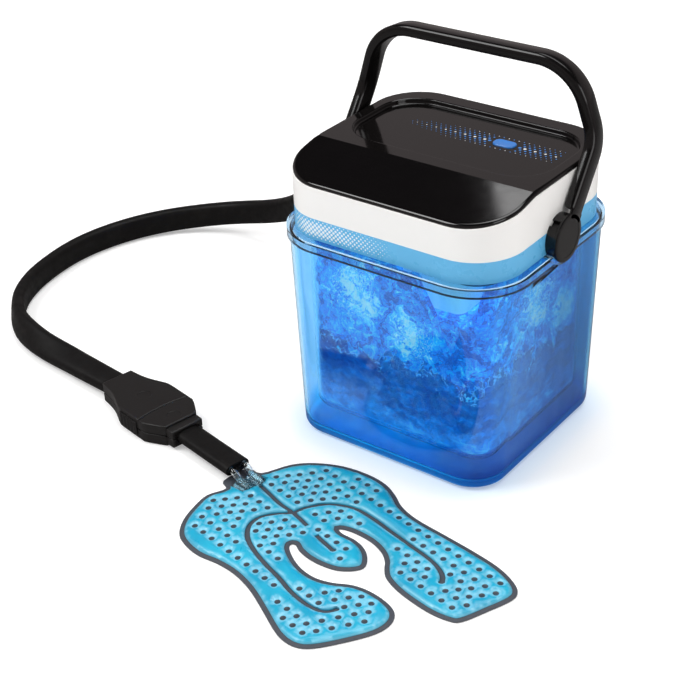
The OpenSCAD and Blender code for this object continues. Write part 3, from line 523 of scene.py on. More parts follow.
def ice_look():
    """Crushed ice over darker water, with painted glow spots, painted highlights and a painted glow from
    emission.
    """
    look = Look("ice_and_water")
    at = look.place()
    warp = look.vector("ADD", at, look.vector("MULTIPLY", look.vector(
        "SUBTRACT", look.noise(0.06, 3, 0.6, colour=True), (0.5, 0.5, 0.5)), (26, 26, 26)))
    x, y, z = look.split(at)
    chunks = look.cells(0.085, "F1", warp, "Color")
    tone = look.split(chunks)[0]
    edges = look.cells(0.11, "DISTANCE_TO_EDGE", warp)
    lumps = look.noise(0.045, 8, 0.68, warp)
    # painted light: bright glow spots at given points in the ice
    glow = None
    for spot, reach in (((-40, -84, 158), 48), ((22, -84, 128), 36), ((94, 5, 150), 46), ((94, 48, 120), 32),
                        ((-60, 84, 150), 50), ((-94, -10, 150), 46), ((40, 84, 140), 40)):
        near = look.span(look.vector("DISTANCE", at, spot), reach, 4, 0, 1, smooth=True)
        glow = look.most(glow, near) if glow else near
    # painted highlights: glints on shard edges where the glow is strong, bright lines along the chunk edges,
    # and a white-yellow top of the ramp
    shard = look.cells(0.24, "DISTANCE_TO_EDGE", warp)
    glint = look.times(look.span(shard, 0.05, 0.0), look.span(look.plus(glow, lumps), 0.75, 1.15))
    light = look.plus(look.times(lumps, 0.5), look.times(tone, 0.26), look.times(glow, 0.25),
                      look.span(edges, 0.0, 0.05, 0.09, 0.0), look.times(glint, 0.42))
    for scale, reach in ((0.2, 0.11), (0.42, 0.08)):
        facet = look.split(look.cells(scale, "F1", warp, "Color"))[1]
        light = look.plus(light, look.span(facet, 0, 1, -reach + 0.015, reach + 0.015))
    ice = look.ramp(light, [(0.30, (0.0, 0.08, 0.46)), (0.42, (0.0, 0.21, 0.74)), (0.54, (0.0, 0.39, 0.88)),
                            (0.63, (0.01, 0.60, 0.95)), (0.72, (0.30, 0.90, 1.0)), (0.82, (0.98, 1.0, 0.84))])
    streak = look.noise(0.05, 6, 0.6, look.stretched((1, 1, 2.2), warp, (0.3, 0.2, 0)))
    # painted glow: the water grows brighter toward the bottom
    floor_glow = look.span(z, 70, 26, 0, 0.26, smooth=True)
    bubble = look.times(look.span(look.cells(0.16, "F1", at), 0.10, 0.06, 0, 0.25),
                        look.span(look.noise(0.03, 2), 0.55, 0.65))
    wet = look.plus(streak, floor_glow, bubble)
    water = look.ramp(wet, [(0.34, (0.0, 0.04, 0.26)), (0.5, (0.0, 0.085, 0.38)), (0.62, (0.0, 0.15, 0.52)),
                            (0.74, (0.0, 0.27, 0.72)), (0.9, (0.15, 0.62, 0.95))])
    line = look.plus(z, look.span(lumps, 0.3, 0.7, -16, 16), look.span(tone, 0, 1, -5, 5))
    above = look.span(line, 96, 101, 0, 1)
    shore = look.times(look.span(line, 91, 96), look.span(line, 103, 97))
    foam = look.times(shore, look.span(edges, 0.08, 0.0, 0, 0.9))
    colour = look.mix(foam, look.mix(above, water, ice), (0.35, 0.75, 1.0))
    # painted glow: the ice and water give off light in their own colour
    look.set(Base_Color=colour, Emission_Color=colour,
             Roughness=look.span(lumps, 0.3, 0.7, 0.12, 0.35),
             Normal=look.bump(look.plus(edges, lumps), 0.7, 2.5))
    look.set(Emission_Strength=0.6, Coat_Weight=0.6, Coat_Roughness=0.08)
    return look.done()


def halftone_blue():
    """Sky-blue plastic with a fading field of pale dots on the front."""
    look = Look("band_blue")
    x, y, z = look.split(look.place())
    diagonal = 3.2 * math.sqrt(2)
    offsets = []
    for along in (look.plus(x, z), look.minus(x, z)):
        offsets.append(look.minus(look.math("FRACT", look.math("DIVIDE", along, diagonal)), 0.5))
    fade = look.times(look.span(x, -100, -80), look.span(x, 14, -64), look.span(z, 211, 216),
                      look.span(z, 230, 224))
    size = look.times(look.math("SQRT", fade), 0.44)
    dot = look.times(look.span(look.minus(size, look.hypot(*offsets)), -0.02, 0.05),
                     look.math("LESS_THAN", y, -40), look.math("GREATER_THAN", size, 0.05))
    blue = look.mix(look.noise(0.03, 3), (0.125, 0.49, 0.83), (0.14, 0.52, 0.87))
    look.set(Base_Color=look.mix(dot, blue, (0.86, 0.92, 0.96)),
             Roughness=look.span(look.noise(0.08, 4), 0.3, 0.7, 0.24, 0.34),
             Normal=look.bump(look.noise(0.7, 3), 0.04, 0.05))
    return look.done()


def hose_rubber():
    """Black insulated hose: dull, with a fine drawn grain and handling marks."""
    look = Look("hose_black")
    grain = look.noise(0.9, 5, 0.7)
    scuffs = look.span(look.noise(0.05, 6, 0.7), 0.52, 0.72)
    look.set(Base_Color=look.mix(scuffs, (0.0035, 0.003, 0.003), (0.008, 0.007, 0.0066)),
             Roughness=look.span(look.noise(0.12, 4), 0.3, 0.7, 0.42, 0.6),
             Normal=look.bump(grain, 0.16, 0.12))
    look.set(Specular_IOR_Level=0.2)
    return look.done()


def film_look():
    """Light-blue filled film: paler rims at each weld, faint wrinkles and a soft gloss."""
    look = Look("film_blue")
    rim = look.node("ShaderNodeAttribute", attribute_name="weld").outputs["Fac"]
    wide = look.noise(0.02, 4, 0.6)
    wrinkle = look.noise(0.16, 5, 0.6, distortion=1.2)
    blue = look.mix(look.span(wide, 0.35, 0.65), (0.004, 0.33, 0.53), (0.014, 0.43, 0.63))
    pale = look.mix(look.times(rim, 0.75), blue, (0.32, 0.69, 0.86))
    look.set(Base_Color=pale, Roughness=look.span(wrinkle, 0.3, 0.7, 0.26, 0.42),
             Normal=look.bump(wrinkle, 0.25, 0.5))
    look.set(Coat_Weight=0.2, Coat_Roughness=0.2)
    return look.done()


def fabric_look(name, colour):
    """Coated cloth: a fine plain weave under a dull coat."""
    look = Look(name)
    x, y, z = look.split(look.place())
    warp = look.math("SINE", look.times(x, 9.0))
    weft = look.math("SINE", look.times(y, 9.0))
    weave = look.times(warp, weft)
    look.set(Base_Color=look.mix(look.noise(0.05, 5, 0.6), tuple(c * 0.8 for c in colour),
                                 tuple(c * 1.2 for c in colour)),
             Roughness=look.span(weave, -1, 1, 0.5, 0.7),
             Normal=look.bump(weave, 0.25, 0.12))
    return look.done()


def board_look():
    """Green solder mask with lighter copper runs."""
    look = Look("circuit_board")
    x, y, z = look.split(look.place())
    runs = look.most(look.span(look.math("FRACT", look.times(x, 0.28)), 0.12, 0.08),
                     look.span(look.math("FRACT", look.times(y, 0.22)), 0.1, 0.06))
    runs = look.times(runs, look.span(look.noise(0.09, 2), 0.5, 0.54))
    look.set(Base_Color=look.mix(runs, (0.01, 0.10, 0.045), (0.03, 0.24, 0.10)),
             Roughness=look.span(look.noise(0.3, 3), 0.3, 0.7, 0.25, 0.4),
             Normal=look.bump(runs, 0.2, 0.1))
    return look.done()


GLOSS = plastic("top_gloss_black", (0.0035, 0.003, 0.003), rough=0.09, grain=0.25, bump=0.02, spread=0.04)
HANDLE = plastic("handle_gloss_black", (0.004, 0.0035, 0.0035), rough=0.16, grain=0.3, bump=0.04,
                 specular=0.32)
WHITE = plastic("band_white", (0.95, 0.935, 0.92), rough=0.3, bump=0.03, tone=0.004, spread=0.03)
BLUE_BAND = halftone_blue()
TUB = tub_plastic()
LINER = clear("liner_clear", (0.72, 0.92, 1.0), rough=0.0, bump=0.01).done()
RIM = clear("rim_clear", (0.40, 0.60, 0.78), bump=0.04).done()
TUBE = clear("tube_clear", (0.86, 0.93, 0.95), rough=0.08, bump=0.08).done()
FILM_CLEAR = clear("inlet_film_clear", (0.45, 0.78, 0.92), rough=0.12, bump=0.5, scale=0.25).done()
ICE_WATER = ice_look()
BUTTON_BLUE = plastic("button_blue", (0.03, 0.20, 0.62), rough=0.22, bump=0.03, coat=0.5)
PRINT_BLUE = plastic("dot_print_blue", (0.05, 0.22, 0.62), rough=0.3)
PRINT_WHITE = plastic("dot_print_white", (0.75, 0.76, 0.78), rough=0.3)
INNER = plastic("inner_white", (0.72, 0.73, 0.74), rough=0.5, bump=0.15)
# painted glow: emission lifts the pump housing out of the shade inside the ice
HOUSING = plastic("housing_white", (0.70, 0.92, 0.94), rough=0.4, bump=0.1, glow=((0.45, 0.85, 0.85), 0.45))
HOSE = hose_rubber()
COUPLING = plastic("coupling_black", (0.007, 0.006, 0.0058), rough=0.42, grain=0.8, bump=0.14, specular=0.4)
FILM = film_look()
WELD = plastic("weld_dark", (0.035, 0.045, 0.06), rough=0.45, bump=0.2)
BACKING = fabric_look("backing_grey", (0.055, 0.062, 0.078))
RUBBER = plastic("seal_rubber", (0.02, 0.02, 0.02), rough=0.65, bump=0.2)
STEEL = metal("steel", (0.62, 0.62, 0.64))
BOARD = board_look()
ORANGE = plastic("impeller_plastic", (0.75, 0.32, 0.05), rough=0.4)
DARK = plastic("switch_dark", (0.03, 0.03, 0.032), rough=0.5, bump=0.15)


def dress(node, material):
    """Gives a CAD node its material."""
    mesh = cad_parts[node].data
    mesh.materials.clear()
    mesh.materials.append(material)


for node, material in {
    "lid_skirt": BLUE_BAND, "lid_shell": WHITE, "lid_underplate": INNER, "lid_seal": RUBBER,
    "lid_screws": STEEL, "board_screws": STEEL, "button_switch": DARK, "control_board": BOARD,
    "pump_housing": HOUSING, "pump_cover": HOUSING, "pump_motor": STEEL, "pump_shaft": STEEL,
    "impeller": ORANGE, "intake_tube": TUBE, "intake_filter": DARK, "outlet_tube": TUBE,
    "return_tube": TUBE, "dc_inlet": DARK, "coupling_valves": INNER, "coupling_nipples": STEEL,
    "coupling_o_rings": RUBBER, "hub_boss_left": HANDLE, "hub_boss_right": HANDLE, "tub_rim": RIM,
}.items():
    dress(node, material)


# ---------- the main hose: first, because the cord rules bind it ----------

HOSE_ROUTE = [
    (-140, 40, 219.75), (-162, 41, 216), (-186, 52, 203), (-209, 71, 181), (-230, 93, 154),
    (-251, 116, 126), (-272, 138, 101), (-294, 156, 80), (-318, 169, 63), (-344, 177, 49),
    (-372, 181, 38), (-401, 180, 30), (-430, 172, 24), (-460, 156, 19), (-486, 133, 16),
    (-507, 102, 14.5), (-521, 65, 14), (-527, 25, 14), (-524, -18, 14), (-513, -61, 14),
    (-492, -99, 14), (-459, -129, 14), (-412, -146, 13.5), (-352, -153, 12), (-285.76, -159.67, 11),
]
HOSE_TWIST = [0, 0, 0, 10, 25, 40, 55, 68, 80, 88, 90, 90, 90, 90, 90, 90, 90, 90, 90, 90, 88, 75, 45, 12, 0]
HOSE_W, HOSE_T = 28, 15


def oblong(w, t, count, power=0.6):
    """Section of a flat hose with rounded edges, as (across, thick) pairs."""
    out = []
    for i in range(count):
        a = 2 * math.pi * (i + 0.5) / count
        c, s = math.cos(a), math.sin(a)
        out.append((w / 2 * math.copysign(abs(c) ** power, c),
                    t / 2 * math.copysign(abs(s) ** (power + 0.1), s)))
    return out


def along_pad(u, v, z=0.0):
    """A point on the line of the coupling and pad, in the row frame's millimetres."""
    c, s = math.cos(PAD_TURN), math.sin(PAD_TURN)
    return PAD_AT + Vector((u * c - v * s, u * s + v * c, z))


def build_hose():
    steps = 6
    path = smooth_open(HOSE_ROUTE, steps)
    out = Vector((math.cos(PAD_TURN), math.sin(PAD_TURN), 0))
    ways = headings(path, (-1, 0, 0), out)
    rings = []
    for i, at in enumerate(path):
        k, f = divmod(i, steps)
        f /= steps
        a = math.radians(HOSE_TWIST[k] * (1 - f) + HOSE_TWIST[min(k + 1, len(HOSE_TWIST) - 1)] * f)
        flat = Vector((0, 0, 1)).cross(ways[i]).normalized()
        wide = flat * math.cos(a) + ways[i].cross(flat) * math.sin(a)
        thin = ways[i].cross(wide)
        rings.append([at + w * wide + t * thin for w, t in oblong(HOSE_W - 0.2, HOSE_T - 0.2, 24)])
    hose = loft("hose_main", rings, None, "black_rubber", smooth=60)
    hose.data.materials.append(HOSE)
    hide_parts("main_hose")
    length = sum((b - a).length for a, b in zip(path, path[1:])) * MM
    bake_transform(hose)
    return hose


build_hose()


# ---------- tub ----------

def tub_ring(z, inset, corner=14):
    """Outline of the tub's outer wall at a height, moved in by inset."""
    f = min(1, max(0, (z - FOOT["z"]) / (MOUTH["z"] - FOOT["z"])))
    w, d, r = (FOOT[k] + (MOUTH[k] - FOOT[k]) * f for k in "wdr")
    return rounded_rect(w - 2 * inset, d - 2 * inset, max(2, r - inset), z, corner=corner)


def build_tub():
    """Outer wall from the foot up to the mouth, down inside, and across the floor."""
    top, lip = MOUTH["z"], 0.6
    rings = [tub_ring(rise, inset) for inset, rise in quarter(FOOT["edge"], 6)]
    rings += [tub_ring(z, 0) for z in (12, 40, 80, 120, 160, 190, top - lip)]
    rings += [tub_ring(top, lip), tub_ring(top, TUB_WALL - lip), tub_ring(top - lip, TUB_WALL)]
    rings += [tub_ring(z, TUB_WALL) for z in (190, 160, 120, 80, 40, 16)]
    rings += [tub_ring(TUB_FLOOR + rise, TUB_WALL + inset) for inset, rise in quarter(7, 6, True)]
    tub = loft("tub_outer", rings, "reservoir", "tub_blue", smooth=40)
    for side in (-1, 1):
        at = (side * 108, HUB.y, HUB.z)
        tool = loft("tool", disc_rings(at, (side, 0, 0), [(0, SADDLE_R), (20, SADDLE_R)], 64), None)
        cut(tub, tool)
    tub.data.materials.append(TUB)
    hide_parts("tub_shell")


def build_liner():
    """Inner vessel: up outside, down inside, and across its floor."""
    low, top, wall = VESSEL["z"], VESSEL["top"], VESSEL["wall"]

    def ring(z, inset):
        return rounded_rect(VESSEL["w"] - 2 * inset, VESSEL["d"] - 2 * inset, max(1, VESSEL["r"] - inset), z,
                            corner=12)

    rings = [ring(low + rise, inset) for inset, rise in quarter(VESSEL["edge"], 6)]
    rings += [ring(z, 0) for z in (60, 100, 150, top)]
    rings += [ring(z, wall) for z in (top, 150, 100, 60)]
    rings += [ring(low + VESSEL["floor"] + rise, wall + inset) for inset, rise in quarter(12, 6, True)]
    liner = loft("tub_inner", rings, "reservoir", "liner_blue", smooth=40)
    liner.data.materials.append(LINER)
    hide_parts("tub_liner")


def ice_top(x, y):
    """Height of the ice, lower by the pump's near corner."""
    dip = max(0.0, 1 - math.hypot(x - ICE_DIP["x"], y - ICE_DIP["y"]) / ICE_DIP["r"])
    return ICE["top"] - ICE_DIP["depth"] * min(1, dip * 2.2)


def build_ice():
    """A block of crushed ice over water that fills the liner, with a pocket for the pump and its tube."""
    side, corner = 40, 8
    low, high = box_mm("pump_housing")
    tube, room = middle_mm("intake_filter"), 12
    pocket_z = box_mm("pump_cover")[0].z - 5

    def outer(f, inset=0.0):
        ring = rounded_rect(ICE["w"] - 2 * inset, ICE["d"] - 2 * inset, ICE["r"] - inset, 0,
                            corner=corner, side=side)
        return [(x, y, ICE["z"] + (ice_top(x, y) - ICE["z"]) * f) for x, y, z in ring]

    def inner(w, d, r, z, at):
        return rounded_rect(w, d, r, z, at.x, at.y, corner, side)

    levels = 64
    edge = ICE["edge"]
    rings = [[(x, y, ICE["z"] + edge * f) for x, y, z in outer(0, edge * (1 - math.sqrt(1 - (1 - f) ** 2)))]
             for f in (0, 0.3, 0.65)]
    rings += [outer(0.075 + 0.925 * k / levels) for k in range(levels + 1)]
    pocket = inner(high.x - low.x + room, high.y - low.y + room, room, 0, middle_mm("pump_housing"))
    last = rings[-1]
    for k in range(1, 12):
        f = k / 12
        flat = [(a[0] + (b[0] - a[0]) * f, a[1] + (b[1] - a[1]) * f) for a, b in zip(last, pocket)]
        rings.append([(x, y, ice_top(x, y)) for x, y in flat])
    for drop, level in enumerate((188, 175, 162, pocket_z)):
        rings.append([(x, y, min(level, ice_top(x, y) - 0.5 - 0.5 * drop)) for x, y, z in pocket])
    rings += [inner(30, 30, 14.9, z, tube) for z in (pocket_z - 0.5, 120, 80, ICE["z"])]

    moved = []
    for k, ring in enumerate(rings):
        out = []
        for x, y, z in ring:
            at = Vector((x, y, z))
            chunk = noise.voronoi(at / 11)[0]
            rough = noise.fractal(at / 14, 0.8, 2.1, 4)
            icy = min(1, max(0, (z - 90) / 16))
            if 3 <= k <= levels + 3:
                push = icy * (3.2 * min(1, chunk[0] * 1.3) + 1.0 * abs(rough)) + (1 - icy) * 0.25 * abs(rough)
                c = Vector((max(-75, min(75, x)), max(-65, min(65, y)), z))
                way = (at - c)
                way = way.normalized() if way.length > 1 else Vector((0, 0, 0))
                at -= way * push
            elif levels + 3 < k < levels + 15:
                at.z += 6 * rough - 5 * chunk[0] - 1
            out.append(at)
        moved.append(out)
    ice = loft("ice_and_water", moved, "reservoir", "liner_blue", closed=True, smooth=25)
    ice.data.materials.append(ICE_WATER)


build_tub()
build_liner()
build_ice()


# ---------- lid ----------

def top_z(y, drop=0.0):
    """Height of the lid's top surface."""
    if y > -CREASE_Y:
        return LID_TOP - drop
    return LID_TOP - drop - FRONT_DROP * (-CREASE_Y - y) / (LID_D / 2 - CREASE_Y)


def build_cover():
    """Black top: rounded rim, crease, sloped front and a sunk panel with a hole for the button."""
    def outline(inset):
        inset += 0.8
        return rounded_rect(LID_W - 2 * inset, LID_D - 2 * inset, LID_R - inset, 0, corner=16, side=8)

    def panel(grow):
        return rounded_rect(RECESS["w"] + 2 * grow, RECESS["d"] + 2 * grow, RECESS["r"] + grow, 0,
                            0, RECESS["y"], corner=16, side=8)

    hole = rounded_rect(BUTTON["w"] + 0.6, BUTTON["d"] + 0.6, 5.8, 0, BUTTON["x"], BUTTON["y"], corner=8)
    size = len(outline(0))
    points, faces = [], []

    def add_ring(ring, heights):
        start = len(points)
        points.extend((x, y, h) for (x, y, z), h in zip(ring, heights))
        return start

    def bridge(a, b):
        for i in range(size):
            j = (i + 1) % size
            faces.append((a + i, a + j, b + j, b + i))

    starts = [add_ring(outline(0.0), [top_z(y, 3.45) for x, y, z in outline(0)])]
    for inset, rise in quarter(2.6, 5, True):
        ring = outline(inset)
        starts.append(add_ring(ring, [top_z(y, rise) for x, y, z in ring]))
    ring = outline(3.2)
    starts.append(add_ring(ring, [top_z(y) for x, y, z in ring]))
    for a, b in zip(starts, starts[1:]):
        bridge(a, b)

    lips = [add_ring(panel(1.9), [LID_TOP] * size)]
    for k in range(5):
        a = math.radians(90 * k / 4)
        lips.append(add_ring(panel(1.5 - 1.5 * math.sin(a)), [LID_TOP - 1.5 + 1.5 * math.cos(a)] * size))
    floor_z = LID_TOP - RECESS["depth"]
    for k in range(5):
        a = math.radians(90 * k / 4)
        lips.append(add_ring(panel(-1.8 + 1.8 * math.cos(a)), [floor_z + 1.8 - 1.8 * math.sin(a)] * size))
    lips.append(add_ring(panel(-2.3), [floor_z] * size))
    for a, b in zip(lips, lips[1:]):
        bridge(a, b)

    def fill(outer_at, inner_ring, inner_at, crease=False):
        """Triangles between an outer ring and the ring inside it."""
        outer_ring = [Vector(p[:2]) for p in points[outer_at:outer_at + size]]
        flat = outer_ring + [Vector(p[:2]) for p in inner_ring]
        m = len(inner_ring)
        edges = [(i, (i + 1) % size) for i in range(size)]
        edges += [(size + i, size + (i + 1) % m) for i in range(m)]
        if crease:
            across = sorted((p.x, i) for i, p in enumerate(outer_ring) if abs(p.y + CREASE_Y) < 0.02)
            ends = [across[0][1], across[-1][1]] if len(across) > 1 else []
            if ends:
                edges.append(tuple(ends))
        verts, _, tris, vert_from, _, _ = delaunay_2d_cdt(flat, edges, [], 0, 1e-4)
        index = {}
        for i, v in enumerate(verts):
            source = vert_from[i][0] if vert_from[i] else None
            if source is None:
                points.append((v.x, v.y, top_z(v.y) if crease else floor_z))
                index[i] = len(points) - 1
            else:
                index[i] = outer_at + source if source < size else inner_at + source - size
        hole_ring = [Vector(p[:2]) for p in inner_ring]
        for t in tris:
            centre = centre_of(verts, t)
            if inside(centre, outer_ring) and not inside(centre, hole_ring):
                faces.append(tuple(index[i] for i in t))

    snap_crease(points, starts[-1], size)
    fill(starts[-1], points[lips[0]:lips[0] + size], lips[0], crease=True)
    hole_at = len(points)
    points.extend((x, y, floor_z) for x, y, z in hole)
    fill(lips[-1], hole, hole_at)
    hole_low = len(points)
    points.extend((x, y, floor_z - 2.2) for x, y, z in hole)
    m = len(hole)
    for i in range(m):
        faces.append((hole_at + i, hole_at + (i + 1) % m, hole_low + (i + 1) % m, hole_low + i))
    cover = make_object("lid_top", points, faces, "lid", "top_black", smooth=25)
    mark_crease(cover)
    wall = cover.modifiers.new("wall", "SOLIDIFY")
    wall.thickness = COVER_WALL * MM
    wall.offset = -1
    bake_modifiers(cover)
    cover.data.materials.append(GLOSS)
    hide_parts("lid_top_cover")


def snap_crease(points, start, size):
    """Moves the ring's two points nearest the crease onto it, so that the fold runs through them."""
    for side in (-1, 1):
        i = min((i for i in range(start, start + size) if points[i][0] * side > 0),
                key=lambda i: abs(points[i][1] + CREASE_Y))
        points[i] = (points[i][0], -CREASE_Y, LID_TOP)


def mark_crease(piece):
    """Keeps the fold of the top sharp."""
    mesh = piece.data
    sharp = mesh.attributes.get("sharp_edge") or mesh.attributes.new("sharp_edge", "BOOLEAN", "EDGE")
    for edge in mesh.edges:
        a, b = (mesh.vertices[i].co / MM for i in edge.vertices)
        if abs(a.y + CREASE_Y) < 0.05 and abs(b.y + CREASE_Y) < 0.05 and min(a.z, b.z) > LID_TOP - 0.1:
            sharp.data[edge.index].value = True


def build_button():
    """Cap with a flange under the panel, a dished top and a stem down to the switch."""
    x, y, w, d = (BUTTON[k] for k in "xywd")
    top = LID_TOP - RECESS["depth"] + 1.2
    rings = [rounded_rect(w + 4, d + 4, 6.5, z, x, y, 8) for z in BUTTON["flange_z"]]
    rings += [rounded_rect(w, d, 5.5, z, x, y, 8) for z in (BUTTON["flange_z"][1], top - 0.9)]
    rings += [rounded_rect(w - 2 * i, d - 2 * i, 5.5 - i, top - r, x, y, 8) for i, r in quarter(0.9, 4, True)]
    rings.append(rounded_rect(w - 6, d - 5, 3, top - 0.25, x, y, 8))
    rings.append(rounded_rect(w - 9, d - 8, 2, top - 0.35, x, y, 8))
    cap = loft("power_button_cap", rings, "button", "button_blue", smooth=30)
    stem = loft("stem", disc_rings((x, y, BUTTON["stem_z"]), (0, 0, 1), [(0, 2.5), (2.35, 2.5)], 24), None)
    joined([cap, stem])
    cap.data.materials.append(BUTTON_BLUE)
    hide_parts("power_button")


def build_dot_print():
    """A plain staggered band of printed dots that thins out on both sides of the button."""
    parts = {"blue": ([], []), "white": ([], [])}
    z = LID_TOP - RECESS["depth"] + 0.04
    for row in range(-3, 4):
        for col in range(-22, 12):
            x = BUTTON["x"] + 5.2 * col + (2.6 if row % 2 else 0)
            y = BUTTON["y"] + 4.0 * row
            away = abs(x - BUTTON["x"])
            r = 1.75 * max(0, 1 - away / 125) * (1 - abs(row) / 4.6)
            if r < 0.3 or (away < 15 and abs(row) < 3) or x > 92:
                continue
            kind = "white" if (col * 3 + row * 5) % 6 == 0 else "blue"
            pts, faces = parts[kind]
            start = len(pts)
            for h in (0.0, 0.08):
                pts.extend((x + r * c, y + r * s, z + h) for c, s in circle(10))
            faces.extend((start + i, start + (i + 1) % 10, start + 10 + (i + 1) % 10, start + 10 + i)
                         for i in range(10))
            faces.append(tuple(start + 10 + i for i in range(10)))
            faces.append(tuple(start + 9 - i for i in range(10)))
    for kind, slot, material in (("blue", "button_blue", PRINT_BLUE), ("white", "band_white", PRINT_WHITE)):
        dots = make_object("dot_print_" + kind, *parts[kind], "lid", slot)
        dots.data.materials.append(material)


def build_gland():
    """Flange and tapered relief where the hose leaves the skirt."""
    low, high = box_mm("hose_gland")
    y, z = middle_mm("hose_gland").yz

    def plate(x, w, h, r):
        return [(x, y + a, z + b) for a, b, c in rounded_rect(w, h, r, 0, corner=8)]

    rings = [plate(high.x, 36, 19, 5), plate(low.x + 0.8, 36, 19, 5), plate(low.x, 34.6, 17.6, 4.5)]
    flange = loft("hose_flange", rings, "lid", "black_plastic")
    flange.data.materials.append(COUPLING)
    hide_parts("hose_gland")
    far = box_mm("strain_relief")[0].x
    rings = []
    for k in range(7):
        f0, f1 = k / 7, (k + 0.62) / 7
        w, h = 33.6 - 4.2 * f0, 18.2 - 2.2 * f0
        for f, grow in ((f0, 0), (f1, 0), (f1 + 0.02, -0.9), ((k + 1) / 7 - 0.02, -0.9)):
            rings.append(plate(low.x + (far - low.x) * f, w + 2 * grow, h + 2 * grow, 6))
    rings[-1] = plate(far, 28.4, 15.4, 6)
    relief = loft("hose_relief", rings, "lid", "black_rubber")
    relief.data.materials.append(HOSE)
    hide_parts("strain_relief")


build_cover()
build_button()
build_dot_print()
build_gland()


# ---------- handle ----------

def rounded_corner(a, b, c, r, n):
    """Points round the corner b of the path a, b, c."""
    u, v = (a - b).normalized(), (c - b).normalized()
    half = u.angle(v) / 2
    mid = b + (u + v).normalized() * r / math.sin(half)
    start, end = b + u * r / math.tan(half) - mid, b + v * r / math.tan(half) - mid
    sweep_angle = start.angle(end)
    return [mid + (math.sin(sweep_angle * (1 - k / n)) * start + math.sin(sweep_angle * k / n) * end)
            / math.sin(sweep_angle) for k in range(n + 1)]


def build_handle():
    """The bail, its outer face flush with the hub discs: flat sides, narrow chamfers and a thin root."""
    arm_x = DISC_X + DISC_T / 2
    hub = Vector((arm_x, HUB.y, HUB.z))
    knee = hub + Vector((-0.3, 52, 71.5))
    corner = Vector((102.5, HUB.y + 49.5, HUB.z + 139))
    flip = Vector((-corner.x, corner.y, corner.z))
    lean = Vector((0, 52, 71.5)).normalized()
    path = [hub + lean * d for d in (16, 22.6, 23.6, 24.6, 26.5, 34)]
    thick = [3.0, 3.0, 7.5, 9.8, 10.6, 10.8]
    path += rounded_corner(path[-1], knee, corner, 41, 16) + rounded_corner(knee, corner, flip, 51, 26)
    path += [Vector((x, corner.y, corner.z)) for x in (44, 22, 0)]
    thick += [10.8] * (len(path) - len(thick))
    ways = headings(path, lean, (-1, 0, 0))
    side = Vector((0, -1, 0))
    half = []
    for at, way, t in zip(path, ways, thick):
        side = (side - side.dot(way) * way).normalized()
        across = way.cross(side)
        edge = min(2.2, t / 5)
        at = at - across * (t - 3.0) / 2
        half.append([at + a * side + b * across for a, b in bar_section(19.8, t, edge)])
    rings = half + [[Vector((-p.x, p.y, p.z)) for p in ring] for ring in reversed(half[:-1])]
    bail = loft("handle_bar", rings, "handle", "top_black", smooth=28)
    bail.data.materials.append(HANDLE)
    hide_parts("handle_bail")
    for s, name in ((-1, "left"), (1, "right")):
        profile = [(0.05, PIN_HOLE_R), (0.05, HUB_R - 0.7), (0.5, HUB_R - 0.1), (2.3, HUB_R - 0.1),
                   (2.85, HUB_R - 0.5), (3.1, HUB_R - 1.2), (3.1, HUB_R - 4.6), (2.8, HUB_R - 5.0),
                   (2.8, 0.05), (2.3, 0.05), (2.3, PIN_HOLE_R)]
        disc = loft("hub_disc_" + name, disc_rings((s * DISC_X, HUB.y, HUB.z), (s, 0, 0), profile, 96),
                    "handle", "top_black", closed=True, smooth=28)
        disc.data.materials.append(HANDLE)
        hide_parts("handle_hub_" + name)


def bar_section(w, t, c):
    """Section of the bail with chamfers c, each of its edges broken by a narrow facet."""
    a, b, e = w / 2, t / 2, c * 0.18
    corners = [(a, c - b), (a, b - c), (a - c, b), (c - a, b),
               (-a, b - c), (-a, c - b), (c - a, -b), (a - c, -b)]
    out = []
    for i, p in enumerate(corners):
        p = Vector(p)
        before, after = Vector(corners[i - 1]), Vector(corners[(i + 1) % 8])
        out += [p + (before - p).normalized() * e, p + (after - p).normalized() * e]
    return [tuple(p) for p in out]


build_handle()


# ---------- coupling ----------

SOCKET_SIDE = [(0, 17), (9, 18), (18, 19.5), (27, 22), (36, 25.5), (44, 28.8), (51, 30), (59, 30), (67, 30),
               (75, 30)]
PLUG_SIDE = [(86, 30), (91, 27.9), (98, 24), (103, 21.2), (108, 18)]
SPLIT_SAG = 3.5


def coupling_arc(gap):
    """The curved split line, as (distance from the hose end, side) from the left to the right."""
    sag, half = SPLIT_SAG, COUPLING_W / 2
    r = (half * half + sag * sag) / (2 * sag)
    centre = SPLIT_U - SOCKET_U + r - sag
    r += gap
    out = []
    for k in range(13):
        v = 29.9 - 59.8 * k / 12
        out.append((centre - math.sqrt(r * r - v * v), v))
    return out


